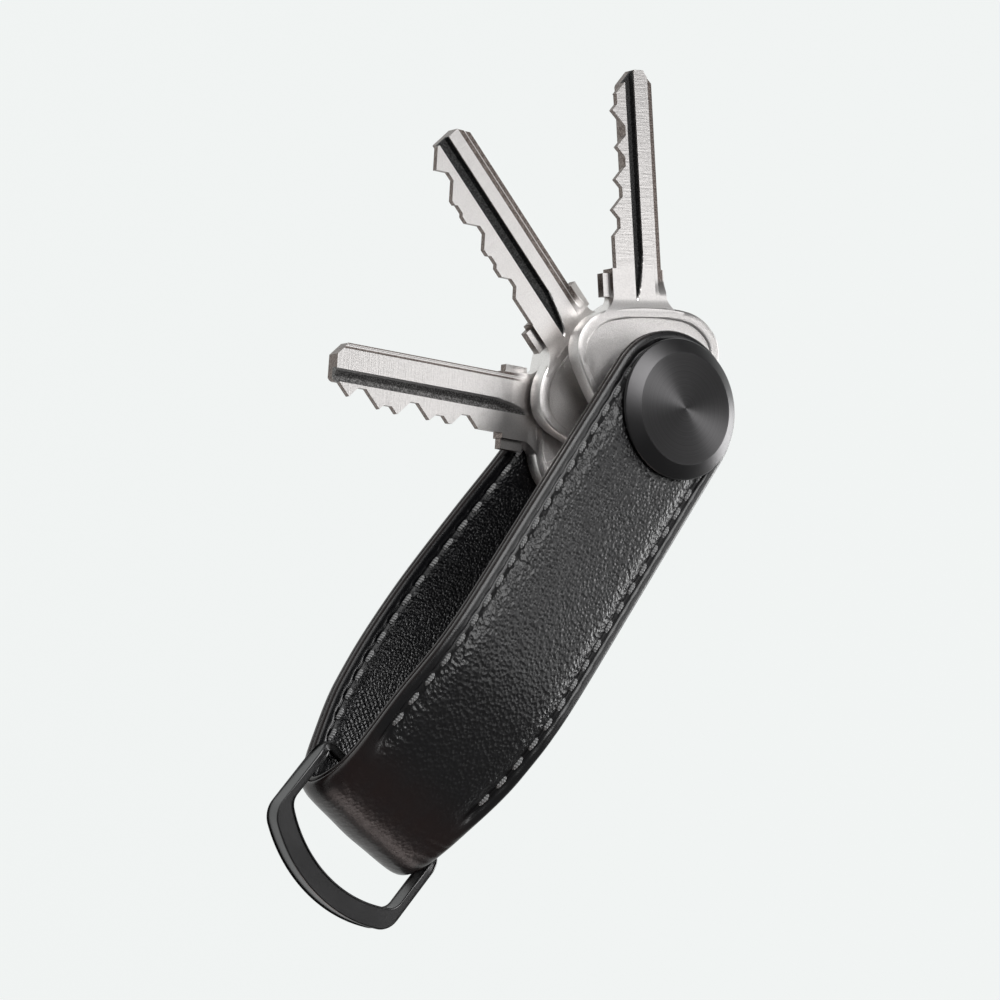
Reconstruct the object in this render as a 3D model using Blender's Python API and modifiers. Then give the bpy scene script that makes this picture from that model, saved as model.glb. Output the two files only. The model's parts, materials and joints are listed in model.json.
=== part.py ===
"""Key organiser: a folded leather strap clamped on a lockable post, with three keys and a D-ring.

Frame: the origin is the centre of the front cap's flat face, on the post's axis.
+Z runs along the post out of the front cap, +Y from the strap's fold to the post, +X to the right.
The keys are modelled flat, each with its bow's hole on the origin, and turned to where they lie.
"""
from math import atan2, cos, hypot, pi, radians, sin, sqrt

import bmesh
import bpy
from mathutils import Matrix

MM = 0.001
SEGMENTS = 32            # facets of a small turned piece
CAP_SEGMENTS = 48        # facets of a cap

# Strap, mm
STRAP_HALF_WIDTH = 10.15
FOLD_HALF_WIDTH = 9.1    # narrowed where the ring's legs pass
NARROWING_Y = (-61.5, -63.0)
STRAP_END_Y = -75.0      # beyond the fold, for the plan cutter
LEATHER = 0.95           # outer leather's thickness
CORE = 0.5
LINING = 0.75
BOND = 0.15              # gap between bonded layers
STRAP_THICKNESS = LEATHER + CORE + LINING + 2 * BOND
FRONT_MID_Z = -2.85      # mid-thickness of the front half at the post
REAR_MID_Z = -17.0       # and of the rear half
PATH_STEPS = 5           # samples between two points of the fold's path
# Mid-thickness of the strap seen from the side, (y, z), front end to rear end
STRAP_PATH = (
    (STRAP_HALF_WIDTH, FRONT_MID_Z), (-20.0, FRONT_MID_Z), (-38.0, FRONT_MID_Z), (-44.7, -3.35),
    (-49.4, -4.45), (-54.0, -5.95), (-58.2, -7.6), (-62.0, -9.4), (-64.7, -11.7), (-65.9, -14.6),
    (-64.6, -17.3), (-61.4, -19.0), (-57.4, -19.95), (-51.0, -21.1), (-45.0, -21.7),
    (-38.9, -21.6), (-32.4, -20.9), (-23.1, -19.1), (-14.5, -17.2), (-9.5, REAR_MID_Z),
    (0.0, REAR_MID_Z), (STRAP_HALF_WIDTH, REAR_MID_Z),
)
STRAP_END_FACETS = 24
STIFFENER_RADIUS = 8.6
STIFFENER_FACETS = 20
STIFFENER_BOTTOM_Y = -9.0
CORE_INSET = 1.2         # the padding stops short of the seam
CORE_START_Y = -9.6

# Post, caps and lock, mm
BARREL_RADIUS = 2.2
BARREL_BORE = 1.6
BARREL_FLANGE = 4.2
POST_HOLE = 2.45         # holes of the strap, spacers and rear cap on the barrel
CAP_RADIUS = 9.0
CAP_FACE_RADIUS = 7.14
CAP_BEVEL = 1.0
REAR_FACE_RADIUS = 7.94
FRONT_CAP_BOTTOM = -1.4
SOCKET_RADIUS = 4.4
SOCKET_TOP = -0.75
FLANGE_TOP = -0.9
FLANGE_BOTTOM = -1.45
BORE_TOP = -2.6
REAR_CAP_TOP = -18.45
REAR_CAP_BOTTOM = -20.05
BARREL_BOTTOM = -18.7
COUNTERBORE_RADIUS = 5.3
COUNTERBORE_FLOOR = -18.9
WASHER_TOP = -19.05
WASHER_BOTTOM = -19.25
WASHER_BORE = 2.6
WASHER_RADIUS = 4.7
SCREW_HEAD_RADIUS = 5.0
SCREW_HEAD_EDGE = 0.2
SCREW_HEAD_TOP = -19.37
SCREW_HEAD_BOTTOM = -19.95
SCREW_SHANK_RADIUS = 1.45
SCREW_TIP = -9.5
COIN_SLOT_WIDTH = 1.5
COIN_SLOT_DEPTH = 0.33

# Spacers on the post: name, top, thickness, mm
SPACERS = (
    ("front_spacer_outer", -4.2, 1.0),
    ("front_spacer_inner", -5.35, 1.0),
    ("middle_spacer", -8.85, 1.6),
    ("rear_friction_washer", -12.95, 0.3),
)
SPACER_RADIUS = 5.2

# Keys, mm
KEY_BOW_THICKNESS = 2.2
KEY_BLADE_THICKNESS = 1.9
KEY_HOLE_RADIUS = 2.7
# Half of the bow's outline, from the far end to the blade end: (along the key, across it)
BOW_HALF = (
    (-4.6, 0.0), (-3.4, 5.0), (0.2, 8.1), (4.0, 10.3), (7.6, 11.6), (10.6, 10.7), (12.9, 7.2), (13.6, 0.0),
)
BOW_RIM = 1.35           # width of the bow's raised rim
BOW_RECESS = 0.3
NECK_START = 11.5
SHOULDER = 18.4          # from the post to the blade's stop
KEY_TIP = 44.0
SPINE = -3.0             # blade's back edge
CUT_EDGE = 5.2           # blade's uncut edge
CUT_FIRST = 24.2         # centre of the cut nearest the shoulder
CUT_PITCH = 3.96
CUT_FLAT = 1.2
NECK_SPINE = -4.0
NECK_CUT = 6.4
TIP_SPINE_SLOPE = 1.6
GROOVE_START = 15.5
GROOVE_Y = 1.25          # middle of the blade's main groove
GROOVE_WIDTH = 1.7
GROOVE_DEPTH = 0.75
BACK_GROOVE_Y = -1.1
BACK_GROOVE_START = 16.4
BACK_STEP_Y = 2.6        # the cut edge is milled thin from the back
BACK_STEP_DEPTH = 0.85
STEP_Y = -1.9            # the blade is thinner from here to its spine
STEP_DEPTH = 0.4
STEP_START = 14.0
TOOL_REACH = 3.0         # cutters run this far past the key's faces
# Name, direction of the blade in degrees from +X, middle's height, its cuts below the uncut edge:
# the land at the shoulder, the five cuts from shoulder to tip, and the tip
KEYS = (
    ("key_front", 130.7, -7.6, (0.55, 1.6, 2.2, 2.95, 3.25, 2.1, 5.2)),
    ("key_middle", 168.0, -11.7, (0.0, 1.05, 0.4, 1.45, 0.3, 1.85, 2.6)),
    ("key_rear", 212.2, -14.5, (0.5, 1.95, 1.3, 2.3, 1.3, 2.85, 3.7)),
)

# D-ring, mm, drawn flat with its bar on the pivot
RING_PIVOT = (-0.1, -61.7, -13.35)
RING_TILT = 4.0          # degrees it hangs below the strap's plane
RING_SKEW = 4.0          # degrees it sits askew in the fold
RING_STRIP = 1.1         # strip's thickness in the ring's plane
RING_BOW_WIDTH = 2.8     # thickness of the bow, which thickens inward
RING_DEPTH = 2.6         # strip's width across the ring's plane
RING_HALF_WIDTH = 10.55  # to the middle of a leg
RING_LEG = 11.0          # from the bar to where the bow starts
RING_REACH = 14.2        # from the bar to the middle of the strip at the bow
RING_CORNER = 2.4
RING_FOOT = 1.0          # corner between the bar and a leg
RING_EDGE = 0.2

# Rivets that pin the lining at the fold, mm
RIVETS = (("fold_rivet_left", -6.8), ("fold_rivet_right", 6.8))
RIVET_Y = -60.0
RIVET_RADIUS = 0.65
RIVET_GAP = 0.1          # between a rivet and the lining

COLOURS = {              # colour, roughness, metallic
    "leather_black": ((0.018, 0.018, 0.02), 0.5, 0.0),
    "lining_black": ((0.022, 0.022, 0.024), 0.6, 0.0),
    "foam_grey": ((0.12, 0.12, 0.12), 0.9, 0.0),
    "plate_steel": ((0.45, 0.45, 0.46), 0.35, 1.0),
    "cap_gunmetal": ((0.09, 0.09, 0.095), 0.3, 1.0),
    "post_steel": ((0.5, 0.5, 0.51), 0.3, 1.0),
    "spacer_black": ((0.03, 0.03, 0.03), 0.5, 0.0),
    "ring_black": ((0.035, 0.035, 0.04), 0.4, 1.0),
    "key_nickel": ((0.72, 0.7, 0.68), 0.25, 1.0),
    "rivet_bright": ((0.8, 0.8, 0.8), 0.2, 1.0),
}


# ---------------------------------------------------------------- scene and materials

def clear_scene():
    for obj in list(bpy.data.objects):
        bpy.data.objects.remove(obj)


def collection(name):
    made = bpy.data.collections.new(name)
    bpy.context.scene.collection.children.link(made)
    return made


def material(name):
    colour, roughness, metallic = COLOURS[name]
    made = bpy.data.materials.get(name)
    if made is None:
        made = bpy.data.materials.new(name)
        made.use_nodes = True
        shader = made.node_tree.nodes["Principled BSDF"]
        shader.inputs["Base Color"].default_value = (*colour, 1.0)
        shader.inputs["Roughness"].default_value = roughness
        shader.inputs["Metallic"].default_value = metallic
        made.diffuse_color = (*colour, 1.0)
    return made


def add_object(name, mesh, group, material_name=None):
    obj = bpy.data.objects.new(name, mesh)
    group.objects.link(obj)
    if material_name:
        mesh.materials.append(material(material_name))
    return obj


def add_cutter(name, mesh):
    obj = add_object(name, mesh, CUTTERS)
    obj.hide_render = True
    obj.display_type = "WIRE"
    return obj


def boolean(obj, operation, tool):
    modifier = obj.modifiers.new(f"{operation.lower()} {tool.name}", "BOOLEAN")
    modifier.operation = operation
    modifier.object = tool
    modifier.solver = "EXACT"


# ---------------------------------------------------------------- shapes

def curve_mesh(name, outlines, half_depth, bezier=False, to_world=None):
    """Closed flat outlines, in mm, extruded both ways, as a mesh with welded caps."""
    data = bpy.data.curves.new(name, "CURVE")
    data.dimensions = "2D"
    data.fill_mode = "BOTH"
    data.extrude = half_depth * MM
    for outline in outlines:
        spline = data.splines.new("BEZIER" if bezier else "POLY")
        if bezier:
            spline.bezier_points.add(len(outline) - 1)
            spline.resolution_u = 5
            for point, (u, v) in zip(spline.bezier_points, outline):
                point.co = (u * MM, v * MM, 0)
                point.handle_left_type = "AUTO"
                point.handle_right_type = "AUTO"
        else:
            spline.points.add(len(outline) - 1)
            for point, (u, v) in zip(spline.points, outline):
                point.co = (u * MM, v * MM, 0, 1)
        spline.use_cyclic_u = True
    holder = bpy.data.objects.new(name, data)
    bpy.context.scene.collection.objects.link(holder)
    bpy.context.view_layer.update()
    depsgraph = bpy.context.evaluated_depsgraph_get()
    mesh = bpy.data.meshes.new_from_object(holder.evaluated_get(depsgraph))
    mesh.name = name
    bpy.data.objects.remove(holder)
    bpy.data.curves.remove(data)
    work = bmesh.new()
    work.from_mesh(mesh)
    bmesh.ops.remove_doubles(work, verts=work.verts, dist=0.000002)
    bmesh.ops.recalc_face_normals(work, faces=work.faces)
    if to_world:
        bmesh.ops.transform(work, matrix=to_world, verts=work.verts)
    work.to_mesh(mesh)
    work.free()
    return mesh


def add_turned(name, profile, group, material_name, segments=SEGMENTS):
    """A profile of (radius, z) in mm, run from top to bottom, turned about Z."""
    mesh = bpy.data.meshes.new(name)
    points = [(radius * MM, 0, z * MM) for radius, z in profile]
    edges = [(i, i + 1) for i in range(len(points) - 1)]
    if profile[0][0] > 0:
        edges.append((len(points) - 1, 0))
    mesh.from_pydata(points, edges, [])
    obj = add_object(name, mesh, group, material_name)
    screw = obj.modifiers.new("turn", "SCREW")
    screw.steps = segments
    screw.render_steps = segments
    screw.use_merge_vertices = True
    screw.merge_threshold = 0.000002
    screw.use_smooth_shade = True
    return obj


def smooth_by_angle(obj, degrees):
    """Keep creases sharper than the angle crisp, the rest smooth."""
    if obj.data.polygons:
        obj.data.shade_smooth()
        obj.data.set_sharp_from_angle(angle=radians(degrees))


def cylinder_mesh(name, radius, bottom, top, segments=SEGMENTS):
    work = bmesh.new()
    bmesh.ops.create_cone(work, cap_ends=True, segments=segments, radius1=radius * MM,
                          radius2=radius * MM, depth=(top - bottom) * MM)
    bmesh.ops.translate(work, verts=work.verts, vec=(0, 0, (top + bottom) / 2 * MM))
    mesh = bpy.data.meshes.new(name)
    work.to_mesh(mesh)
    work.free()
    return mesh


def box_mesh(name, low, high):
    work = bmesh.new()
    size = [(b - a) * MM for a, b in zip(low, high)]
    middle = [(a + b) / 2 * MM for a, b in zip(low, high)]
    placed = Matrix.Translation(middle) @ Matrix.Diagonal((*size, 1.0))
    bmesh.ops.create_cube(work, size=1.0, matrix=placed)
    mesh = bpy.data.meshes.new(name)
    work.to_mesh(mesh)
    work.free()
    return mesh


def arc(centre, radius, start, end, steps):
    """Points on an arc, degrees, both ends included."""
    turns = [radians(start + (end - start) * i / steps) for i in range(steps + 1)]
    return [(centre[0] + radius * cos(t), centre[1] + radius * sin(t)) for t in turns]


# ---------------------------------------------------------------- strap

def smooth_path(points):
    """Catmull-Rom curve through the points, sampled evenly between them."""
    samples = []
    last = len(points) - 1
    for i in range(last):
        p0, p1, p2, p3 = (points[max(i - 1, 0)], points[i], points[i + 1], points[min(i + 2, last)])
        straight = p1[1] == p2[1] and (p0[1] == p1[1] or p3[1] == p2[1])
        steps = 1 if straight else PATH_STEPS
        for k in range(steps):
            t = k / steps
            samples.append(tuple(
                0.5 * (2 * b + (c - a) * t + (2 * a - 5 * b + 4 * c - d) * t ** 2
                       + (3 * b - a - 3 * c + d) * t ** 3)
                for a, b, c, d in zip(p0, p1, p2, p3)))
    samples.append(points[-1])
    return samples


def offset_path(path, distance):
    """The path moved sideways, in mm: positive is outward, away from the keys."""
    moved = []
    for i, (y, z) in enumerate(path):
        before = path[max(i - 1, 0)]
        after = path[min(i + 1, len(path) - 1)]
        dy = after[0] - before[0]
        dz = after[1] - before[1]
        length = hypot(dy, dz)
        moved.append((y + dz / length * distance, z - dy / length * distance))
    return moved


def strap_outline(half_width, fold_half_width):
    """The strap seen from above: round at the post, narrowed at the fold."""
    end = arc((0, 0), half_width, 0, 180, STRAP_END_FACETS)
    left = [(-half_width, NARROWING_Y[0]), (-fold_half_width, NARROWING_Y[1])]
    left.append((-fold_half_width, STRAP_END_Y))
    right = [(-x, y) for x, y in reversed(left)]
    return end + left + right


def strap_layer(name, outer, inner, outline, material_name, hole):
    """One layer of the folded strap, between two offsets from its mid-thickness."""
    path = smooth_path(STRAP_PATH)
    section = offset_path(path, outer) + list(reversed(offset_path(path, inner)))
    side_view = Matrix(((0, 0, 1, 0), (1, 0, 0, 0), (0, 1, 0, 0), (0, 0, 0, 1)))
    mesh = curve_mesh(name, [section], STRAP_HALF_WIDTH + 1, to_world=side_view)
    layer = add_object(name, mesh, PARTS, material_name)
    plan = add_cutter(f"{name}_plan", curve_mesh(f"{name}_plan", [outline], 40))
    boolean(layer, "INTERSECT", plan)
    if hole:
        boolean(layer, "DIFFERENCE", POST_DRILL)
    return layer


def build_strap():
    half = STRAP_THICKNESS / 2
    whole = strap_outline(STRAP_HALF_WIDTH, FOLD_HALF_WIDTH)
    strap_layer("outer_leather", half, half - LEATHER, whole, "leather_black", True)
    strap_layer("lining_leather", -half + LINING, -half, whole, "lining_black", True)
    inset = STRAP_HALF_WIDTH - CORE_INSET
    fold = FOLD_HALF_WIDTH - CORE_INSET
    pad = [(inset, CORE_START_Y), (-inset, CORE_START_Y), (-inset, NARROWING_Y[0]),
           (-fold, NARROWING_Y[1]), (-fold, STRAP_END_Y), (fold, STRAP_END_Y),
           (fold, NARROWING_Y[1]), (inset, NARROWING_Y[0])]
    core = half - LEATHER - BOND
    strap_layer("padding", core, core - CORE, pad, "foam_grey", False)
    end = arc((0, 0), STIFFENER_RADIUS, 0, 180, STIFFENER_FACETS)
    plate = end + [(-STIFFENER_RADIUS, STIFFENER_BOTTOM_Y), (STIFFENER_RADIUS, STIFFENER_BOTTOM_Y)]
    for name, middle, sign in (("front_stiffener", FRONT_MID_Z, 1), ("rear_stiffener", REAR_MID_Z, -1)):
        mesh = curve_mesh(name, [plate], CORE / 2)
        obj = add_object(name, mesh, PARTS, "plate_steel")
        obj.location.z = (middle + sign * (core - CORE / 2)) * MM
        boolean(obj, "DIFFERENCE", POST_DRILL)


# ---------------------------------------------------------------- post, caps and lock

def build_post():
    add_turned("front_cap", [
        (0, 0), (CAP_FACE_RADIUS, 0), (CAP_RADIUS, -CAP_BEVEL), (CAP_RADIUS, FRONT_CAP_BOTTOM),
        (SOCKET_RADIUS, FRONT_CAP_BOTTOM), (SOCKET_RADIUS, SOCKET_TOP), (0, SOCKET_TOP),
    ], PARTS, "cap_gunmetal", CAP_SEGMENTS)
    add_turned("post_barrel", [
        (0, FLANGE_TOP), (BARREL_FLANGE, FLANGE_TOP), (BARREL_FLANGE, FLANGE_BOTTOM),
        (BARREL_RADIUS, FLANGE_BOTTOM), (BARREL_RADIUS, BARREL_BOTTOM), (BARREL_BORE, BARREL_BOTTOM),
        (BARREL_BORE, BORE_TOP), (0, BORE_TOP),
    ], PARTS, "post_steel")
    add_turned("rear_cap", [
        (POST_HOLE, REAR_CAP_TOP), (CAP_RADIUS, REAR_CAP_TOP), (CAP_RADIUS, REAR_CAP_BOTTOM + CAP_BEVEL),
        (REAR_FACE_RADIUS, REAR_CAP_BOTTOM), (COUNTERBORE_RADIUS, REAR_CAP_BOTTOM),
        (COUNTERBORE_RADIUS, COUNTERBORE_FLOOR), (POST_HOLE, COUNTERBORE_FLOOR),
    ], PARTS, "cap_gunmetal", CAP_SEGMENTS)
    add_turned("spring_washer", [
        (WASHER_BORE, WASHER_TOP), (WASHER_RADIUS, WASHER_TOP),
        (WASHER_RADIUS, WASHER_BOTTOM), (WASHER_BORE, WASHER_BOTTOM),
    ], PARTS, "post_steel")
    screw = add_turned("lock_screw", [
        (0, SCREW_TIP), (SCREW_SHANK_RADIUS, SCREW_TIP), (SCREW_SHANK_RADIUS, SCREW_HEAD_TOP),
        (SCREW_HEAD_RADIUS, SCREW_HEAD_TOP), (SCREW_HEAD_RADIUS, SCREW_HEAD_BOTTOM + SCREW_HEAD_EDGE),
        (SCREW_HEAD_RADIUS - SCREW_HEAD_EDGE, SCREW_HEAD_BOTTOM), (0, SCREW_HEAD_BOTTOM),
    ], PARTS, "post_steel")
    slot = add_cutter("coin_slot", box_mesh(
        "coin_slot", (-SCREW_HEAD_RADIUS - 1, -COIN_SLOT_WIDTH / 2, SCREW_HEAD_BOTTOM - 1),
        (SCREW_HEAD_RADIUS + 1, COIN_SLOT_WIDTH / 2, SCREW_HEAD_BOTTOM + COIN_SLOT_DEPTH)))
    boolean(screw, "DIFFERENCE", slot)


def build_spacers():
    for name, top, thickness in SPACERS:
        add_turned(name, [
            (POST_HOLE, top), (SPACER_RADIUS, top), (SPACER_RADIUS, top - thickness),
            (POST_HOLE, top - thickness),
        ], PARTS, "spacer_black")


# ---------------------------------------------------------------- keys

def bow_outline(inset):
    """The whole bow, drawn in from its edge by the inset."""
    middle = (BOW_HALF[0][0] + BOW_HALF[-1][0]) / 2
    half_length = BOW_HALF[-1][0] - middle
    half_width = max(v for _, v in BOW_HALF)
    along = 1 - inset / half_length
    across = 1 - inset / half_width
    lower = [(middle + (u - middle) * along, -v * across) for u, v in BOW_HALF]
    upper = [(u, -v) for u, v in reversed(lower[1:-1])]
    return lower + upper


def cut_row(cuts):
    """Corners of the cut edge, (along, depth): even flats joined by 45-degree flanks, then the tip's slope."""
    land, *depths, tip_depth = cuts
    row = [(CUT_FIRST - CUT_FLAT / 2 - (depths[0] - land), land)]
    for number, depth in enumerate(depths):
        start = CUT_FIRST + number * CUT_PITCH - CUT_FLAT / 2
        if number:
            last, last_depth = row[-1]
            crest = max((last_depth + depth - (start - last)) / 2, land)
            rise, fall = last + max(last_depth - crest, 0), start - max(depth - crest, 0)
            row.append((rise, crest))
            if fall - rise > 0.01:
                row.append((fall, crest))
        row += [(start, depth), (start + CUT_FLAT, depth)]
    end, depth = row[-1]
    crest_at = (depth + end - tip_depth + KEY_TIP) / 2
    if crest_at > end + 0.05:
        row.append((crest_at, depth - (crest_at - end)))
    return row + [(KEY_TIP, tip_depth)]


def blade_outline(cuts):
    """Neck, shoulders, blade with its row of cuts, and tip."""
    back = [(NECK_START, NECK_SPINE), (SHOULDER, NECK_SPINE), (SHOULDER, SPINE),
            (KEY_TIP - TIP_SPINE_SLOPE, SPINE), (KEY_TIP, SPINE + TIP_SPINE_SLOPE)]
    edge = [(along, CUT_EDGE - depth) for along, depth in reversed(cut_row(cuts))]
    return back + edge + [(SHOULDER, CUT_EDGE - cuts[0]), (SHOULDER, NECK_CUT), (NECK_START, NECK_CUT)]


def build_key(name, direction, middle, cuts):
    half = KEY_BLADE_THICKNESS / 2
    bow_half = KEY_BOW_THICKNESS / 2
    bow = curve_mesh(name, [bow_outline(0)], bow_half, bezier=True)
    key = add_object(name, bow, PARTS, "key_nickel")
    blade = add_cutter(f"{name}_blade", curve_mesh(f"{name}_blade", [blade_outline(cuts)], half))
    boolean(key, "UNION", blade)
    floor = bow_half - BOW_RECESS
    tools = [blade]
    for side, low, high in (("front", floor, bow_half + 1), ("back", -bow_half - 1, -floor)):
        lift = Matrix.Translation((0, 0, (low + high) / 2 * MM))
        recess = curve_mesh(f"{name}_{side}_recess", [bow_outline(BOW_RIM)], (high - low) / 2,
                            bezier=True, to_world=lift)
        tools.append(add_cutter(f"{name}_{side}_recess", recess))
    reach = KEY_TIP + 2
    above, below = half + TOOL_REACH, -half - TOOL_REACH
    groove = (GROOVE_Y - GROOVE_WIDTH / 2, GROOVE_Y + GROOVE_WIDTH / 2)
    back_groove = (BACK_GROOVE_Y - GROOVE_WIDTH / 2, BACK_GROOVE_Y + GROOVE_WIDTH / 2)
    channels = (
        ("groove", GROOVE_START, *groove, half - GROOVE_DEPTH, above),
        ("back_groove", BACK_GROOVE_START, *back_groove, below, -half + GROOVE_DEPTH),
        ("back_step", SHOULDER, BACK_STEP_Y, CUT_EDGE + 1, below, -half + BACK_STEP_DEPTH),
        ("step", STEP_START, NECK_SPINE - 1, STEP_Y, half - STEP_DEPTH, above),
    )
    for label, start, low_y, high_y, low_z, high_z in channels:
        mesh = box_mesh(f"{name}_{label}", (start, low_y, low_z), (reach, high_y, high_z))
        tools.append(add_cutter(f"{name}_{label}", mesh))
    hole = cylinder_mesh(f"{name}_hole", KEY_HOLE_RADIUS, -TOOL_REACH, TOOL_REACH)
    tools.append(add_cutter(f"{name}_hole", hole))
    for tool in tools[1:]:
        boolean(key, "DIFFERENCE", tool)
    for obj in (key, *tools):
        obj.location.z = middle * MM
        obj.rotation_euler.z = radians(direction)


# ---------------------------------------------------------------- ring and rivets

def ring_outline(side):
    """The ring's outer (+1) or inner (-1) edge: bar, legs, and a bow that bulges outward."""
    grow = side * RING_STRIP / 2
    thicker = 0 if side > 0 else RING_BOW_WIDTH - RING_STRIP
    half = RING_HALF_WIDTH + grow
    sagitta = RING_REACH - RING_LEG
    bow_radius = (RING_HALF_WIDTH ** 2 + sagitta ** 2) / (2 * sagitta)
    centre_v = RING_REACH - bow_radius
    radius = bow_radius + grow - thicker
    corner = RING_CORNER + grow
    # The fillet's centre lies a corner's radius inside both the leg and the bow.
    u = half - corner
    v = centre_v + sqrt((radius - corner) ** 2 - u ** 2)
    touch = atan2(v - centre_v, u) * 180 / pi
    fillet = arc((u, v), corner, 0, touch, 5)
    bow = arc((0, centre_v), radius, touch, 180 - touch, 12)
    foot = RING_FOOT + grow
    start = arc((half - foot, foot - grow), foot, -90, 0, 4)
    right = start + fillet
    left = [(-x, y) for x, y in reversed(right)]
    return right + bow[1:-1] + left


def build_ring():
    outlines = [ring_outline(1), ring_outline(-1)]
    mesh = curve_mesh("d_ring", outlines, RING_DEPTH / 2)
    ring = add_object("d_ring", mesh, PARTS, "ring_black")
    edge = ring.modifiers.new("edges", "BEVEL")
    edge.width = RING_EDGE * MM
    edge.segments = 1
    edge.angle_limit = radians(60)
    pivot = bpy.data.objects.new("ring_pivot", None)
    PARTS.objects.link(pivot)
    pivot.location = [c * MM for c in RING_PIVOT]
    # Turned over so that the bow points away from the post, then tilted and skewed.
    pivot.rotation_euler = (radians(180 + RING_TILT), 0, radians(-RING_SKEW))
    ring.parent = pivot


def build_rivets():
    """Two small dome rivets on the lining of the rear half, where the fold begins."""
    path = offset_path(smooth_path(STRAP_PATH), -STRAP_THICKNESS / 2)
    rear = path[len(path) // 2:]
    y, z = min(rear, key=lambda point: abs(point[0] - RIVET_Y))
    for name, x in RIVETS:
        work = bmesh.new()
        bmesh.ops.create_uvsphere(work, u_segments=12, v_segments=8, radius=RIVET_RADIUS * MM)
        mesh = bpy.data.meshes.new(name)
        work.to_mesh(mesh)
        work.free()
        rivet = add_object(name, mesh, PARTS, "rivet_bright")
        rivet.location = (x * MM, y * MM, (z + RIVET_RADIUS + RIVET_GAP) * MM)
        smooth_by_angle(rivet, 40)


# ---------------------------------------------------------------- build

clear_scene()
PARTS = collection("key_organiser")
CUTTERS = collection("cutters")
POST_DRILL = add_cutter("post_drill", cylinder_mesh("post_drill", POST_HOLE, -30, 5))

build_strap()
build_post()
build_spacers()
for key_name, key_direction, key_middle, key_cuts in KEYS:
    build_key(key_name, key_direction, key_middle, key_cuts)
build_ring()
build_rivets()
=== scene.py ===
"""Looks of the key organiser: stitched leather strap, spun caps, cut keys and a black D-ring."""
import json
from math import cos, pi, radians, sin, sqrt, tan

import bmesh
import bpy
import numpy as np
from bpy.props import FloatProperty, FloatVectorProperty, IntProperty, PointerProperty
from mathutils import Matrix, Quaternion, Vector


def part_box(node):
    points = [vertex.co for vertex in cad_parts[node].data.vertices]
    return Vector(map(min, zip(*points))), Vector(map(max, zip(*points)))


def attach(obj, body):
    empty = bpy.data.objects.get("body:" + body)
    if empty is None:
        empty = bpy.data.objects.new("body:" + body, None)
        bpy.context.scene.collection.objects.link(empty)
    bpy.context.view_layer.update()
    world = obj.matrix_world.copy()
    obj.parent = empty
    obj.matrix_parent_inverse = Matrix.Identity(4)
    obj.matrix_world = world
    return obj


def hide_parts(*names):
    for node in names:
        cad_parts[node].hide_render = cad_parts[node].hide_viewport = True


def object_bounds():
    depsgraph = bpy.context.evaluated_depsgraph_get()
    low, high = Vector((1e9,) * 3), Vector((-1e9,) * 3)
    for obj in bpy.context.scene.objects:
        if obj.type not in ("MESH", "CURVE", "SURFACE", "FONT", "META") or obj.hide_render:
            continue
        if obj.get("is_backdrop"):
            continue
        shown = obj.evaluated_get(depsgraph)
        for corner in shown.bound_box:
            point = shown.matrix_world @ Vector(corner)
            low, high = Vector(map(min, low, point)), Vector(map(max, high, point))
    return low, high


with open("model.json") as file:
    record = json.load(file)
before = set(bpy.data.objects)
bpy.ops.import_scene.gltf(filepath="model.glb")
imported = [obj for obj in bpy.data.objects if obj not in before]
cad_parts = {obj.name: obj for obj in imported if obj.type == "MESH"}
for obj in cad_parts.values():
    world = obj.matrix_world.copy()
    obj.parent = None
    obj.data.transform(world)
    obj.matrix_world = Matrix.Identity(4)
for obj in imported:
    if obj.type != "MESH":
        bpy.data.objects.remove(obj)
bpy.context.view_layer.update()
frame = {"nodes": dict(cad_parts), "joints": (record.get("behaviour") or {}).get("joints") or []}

bl_info = {
    "name": "Key Organiser",
    "version": (1, 0, 0),
    "blender": (4, 5, 0),
    "location": "3D View > Sidebar > Key Organiser",
    "description": "Builds the visible surfaces and finishes of a folded leather key organiser",
    "category": "Object",
}

MM = 0.001
HOME = "organiser"                     # body that the strap and post ride on

# Mid-thickness of the folded strap seen from the side, (y, z) in mm, front end to rear end.
STRAP_PATH = (
    (10.15, -2.85), (-20.0, -2.85), (-38.0, -2.85), (-44.7, -3.35), (-49.4, -4.45), (-54.0, -5.95),
    (-58.2, -7.6), (-62.0, -9.4), (-64.7, -11.7), (-65.9, -14.6), (-64.6, -17.3), (-61.4, -19.0),
    (-57.4, -19.95), (-51.0, -21.1), (-45.0, -21.7), (-38.9, -21.6), (-32.4, -20.9), (-23.1, -19.1),
    (-14.5, -17.2), (-9.5, -17.0), (0.0, -17.0), (10.15, -17.0),
)

# Section of the outer leather near the seam, (distance in from the edge, height over mid-thickness), mm.
SEWN_TOP = (
    (0.22, -0.36), (0.05, -0.28), (0.0, -0.10), (0.02, 0.12), (0.12, 0.30), (0.34, 0.45), (0.66, 0.54),
    (1.0, 0.53), (1.28, 0.40), (1.45, 0.20), (1.58, 0.10), (1.74, 0.12), (1.95, 0.27), (2.3, 0.50),
    (2.8, 0.74), (3.4, 1.00), (4.1, 1.19), (5.0, 1.30),
)
# The same points where the strap rolls over the fold and isn't sewn.
FOLD_TOP = (
    (0.25, -0.36), (0.06, -0.28), (0.0, -0.10), (0.04, 0.15), (0.16, 0.38), (0.36, 0.58), (0.62, 0.75),
    (0.9, 0.88), (1.18, 0.97), (1.42, 1.03), (1.62, 1.07), (1.82, 1.10), (2.1, 1.13), (2.5, 1.16),
    (2.9, 1.19), (3.4, 1.22), (4.1, 1.25), (5.0, 1.28),
)
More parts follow.
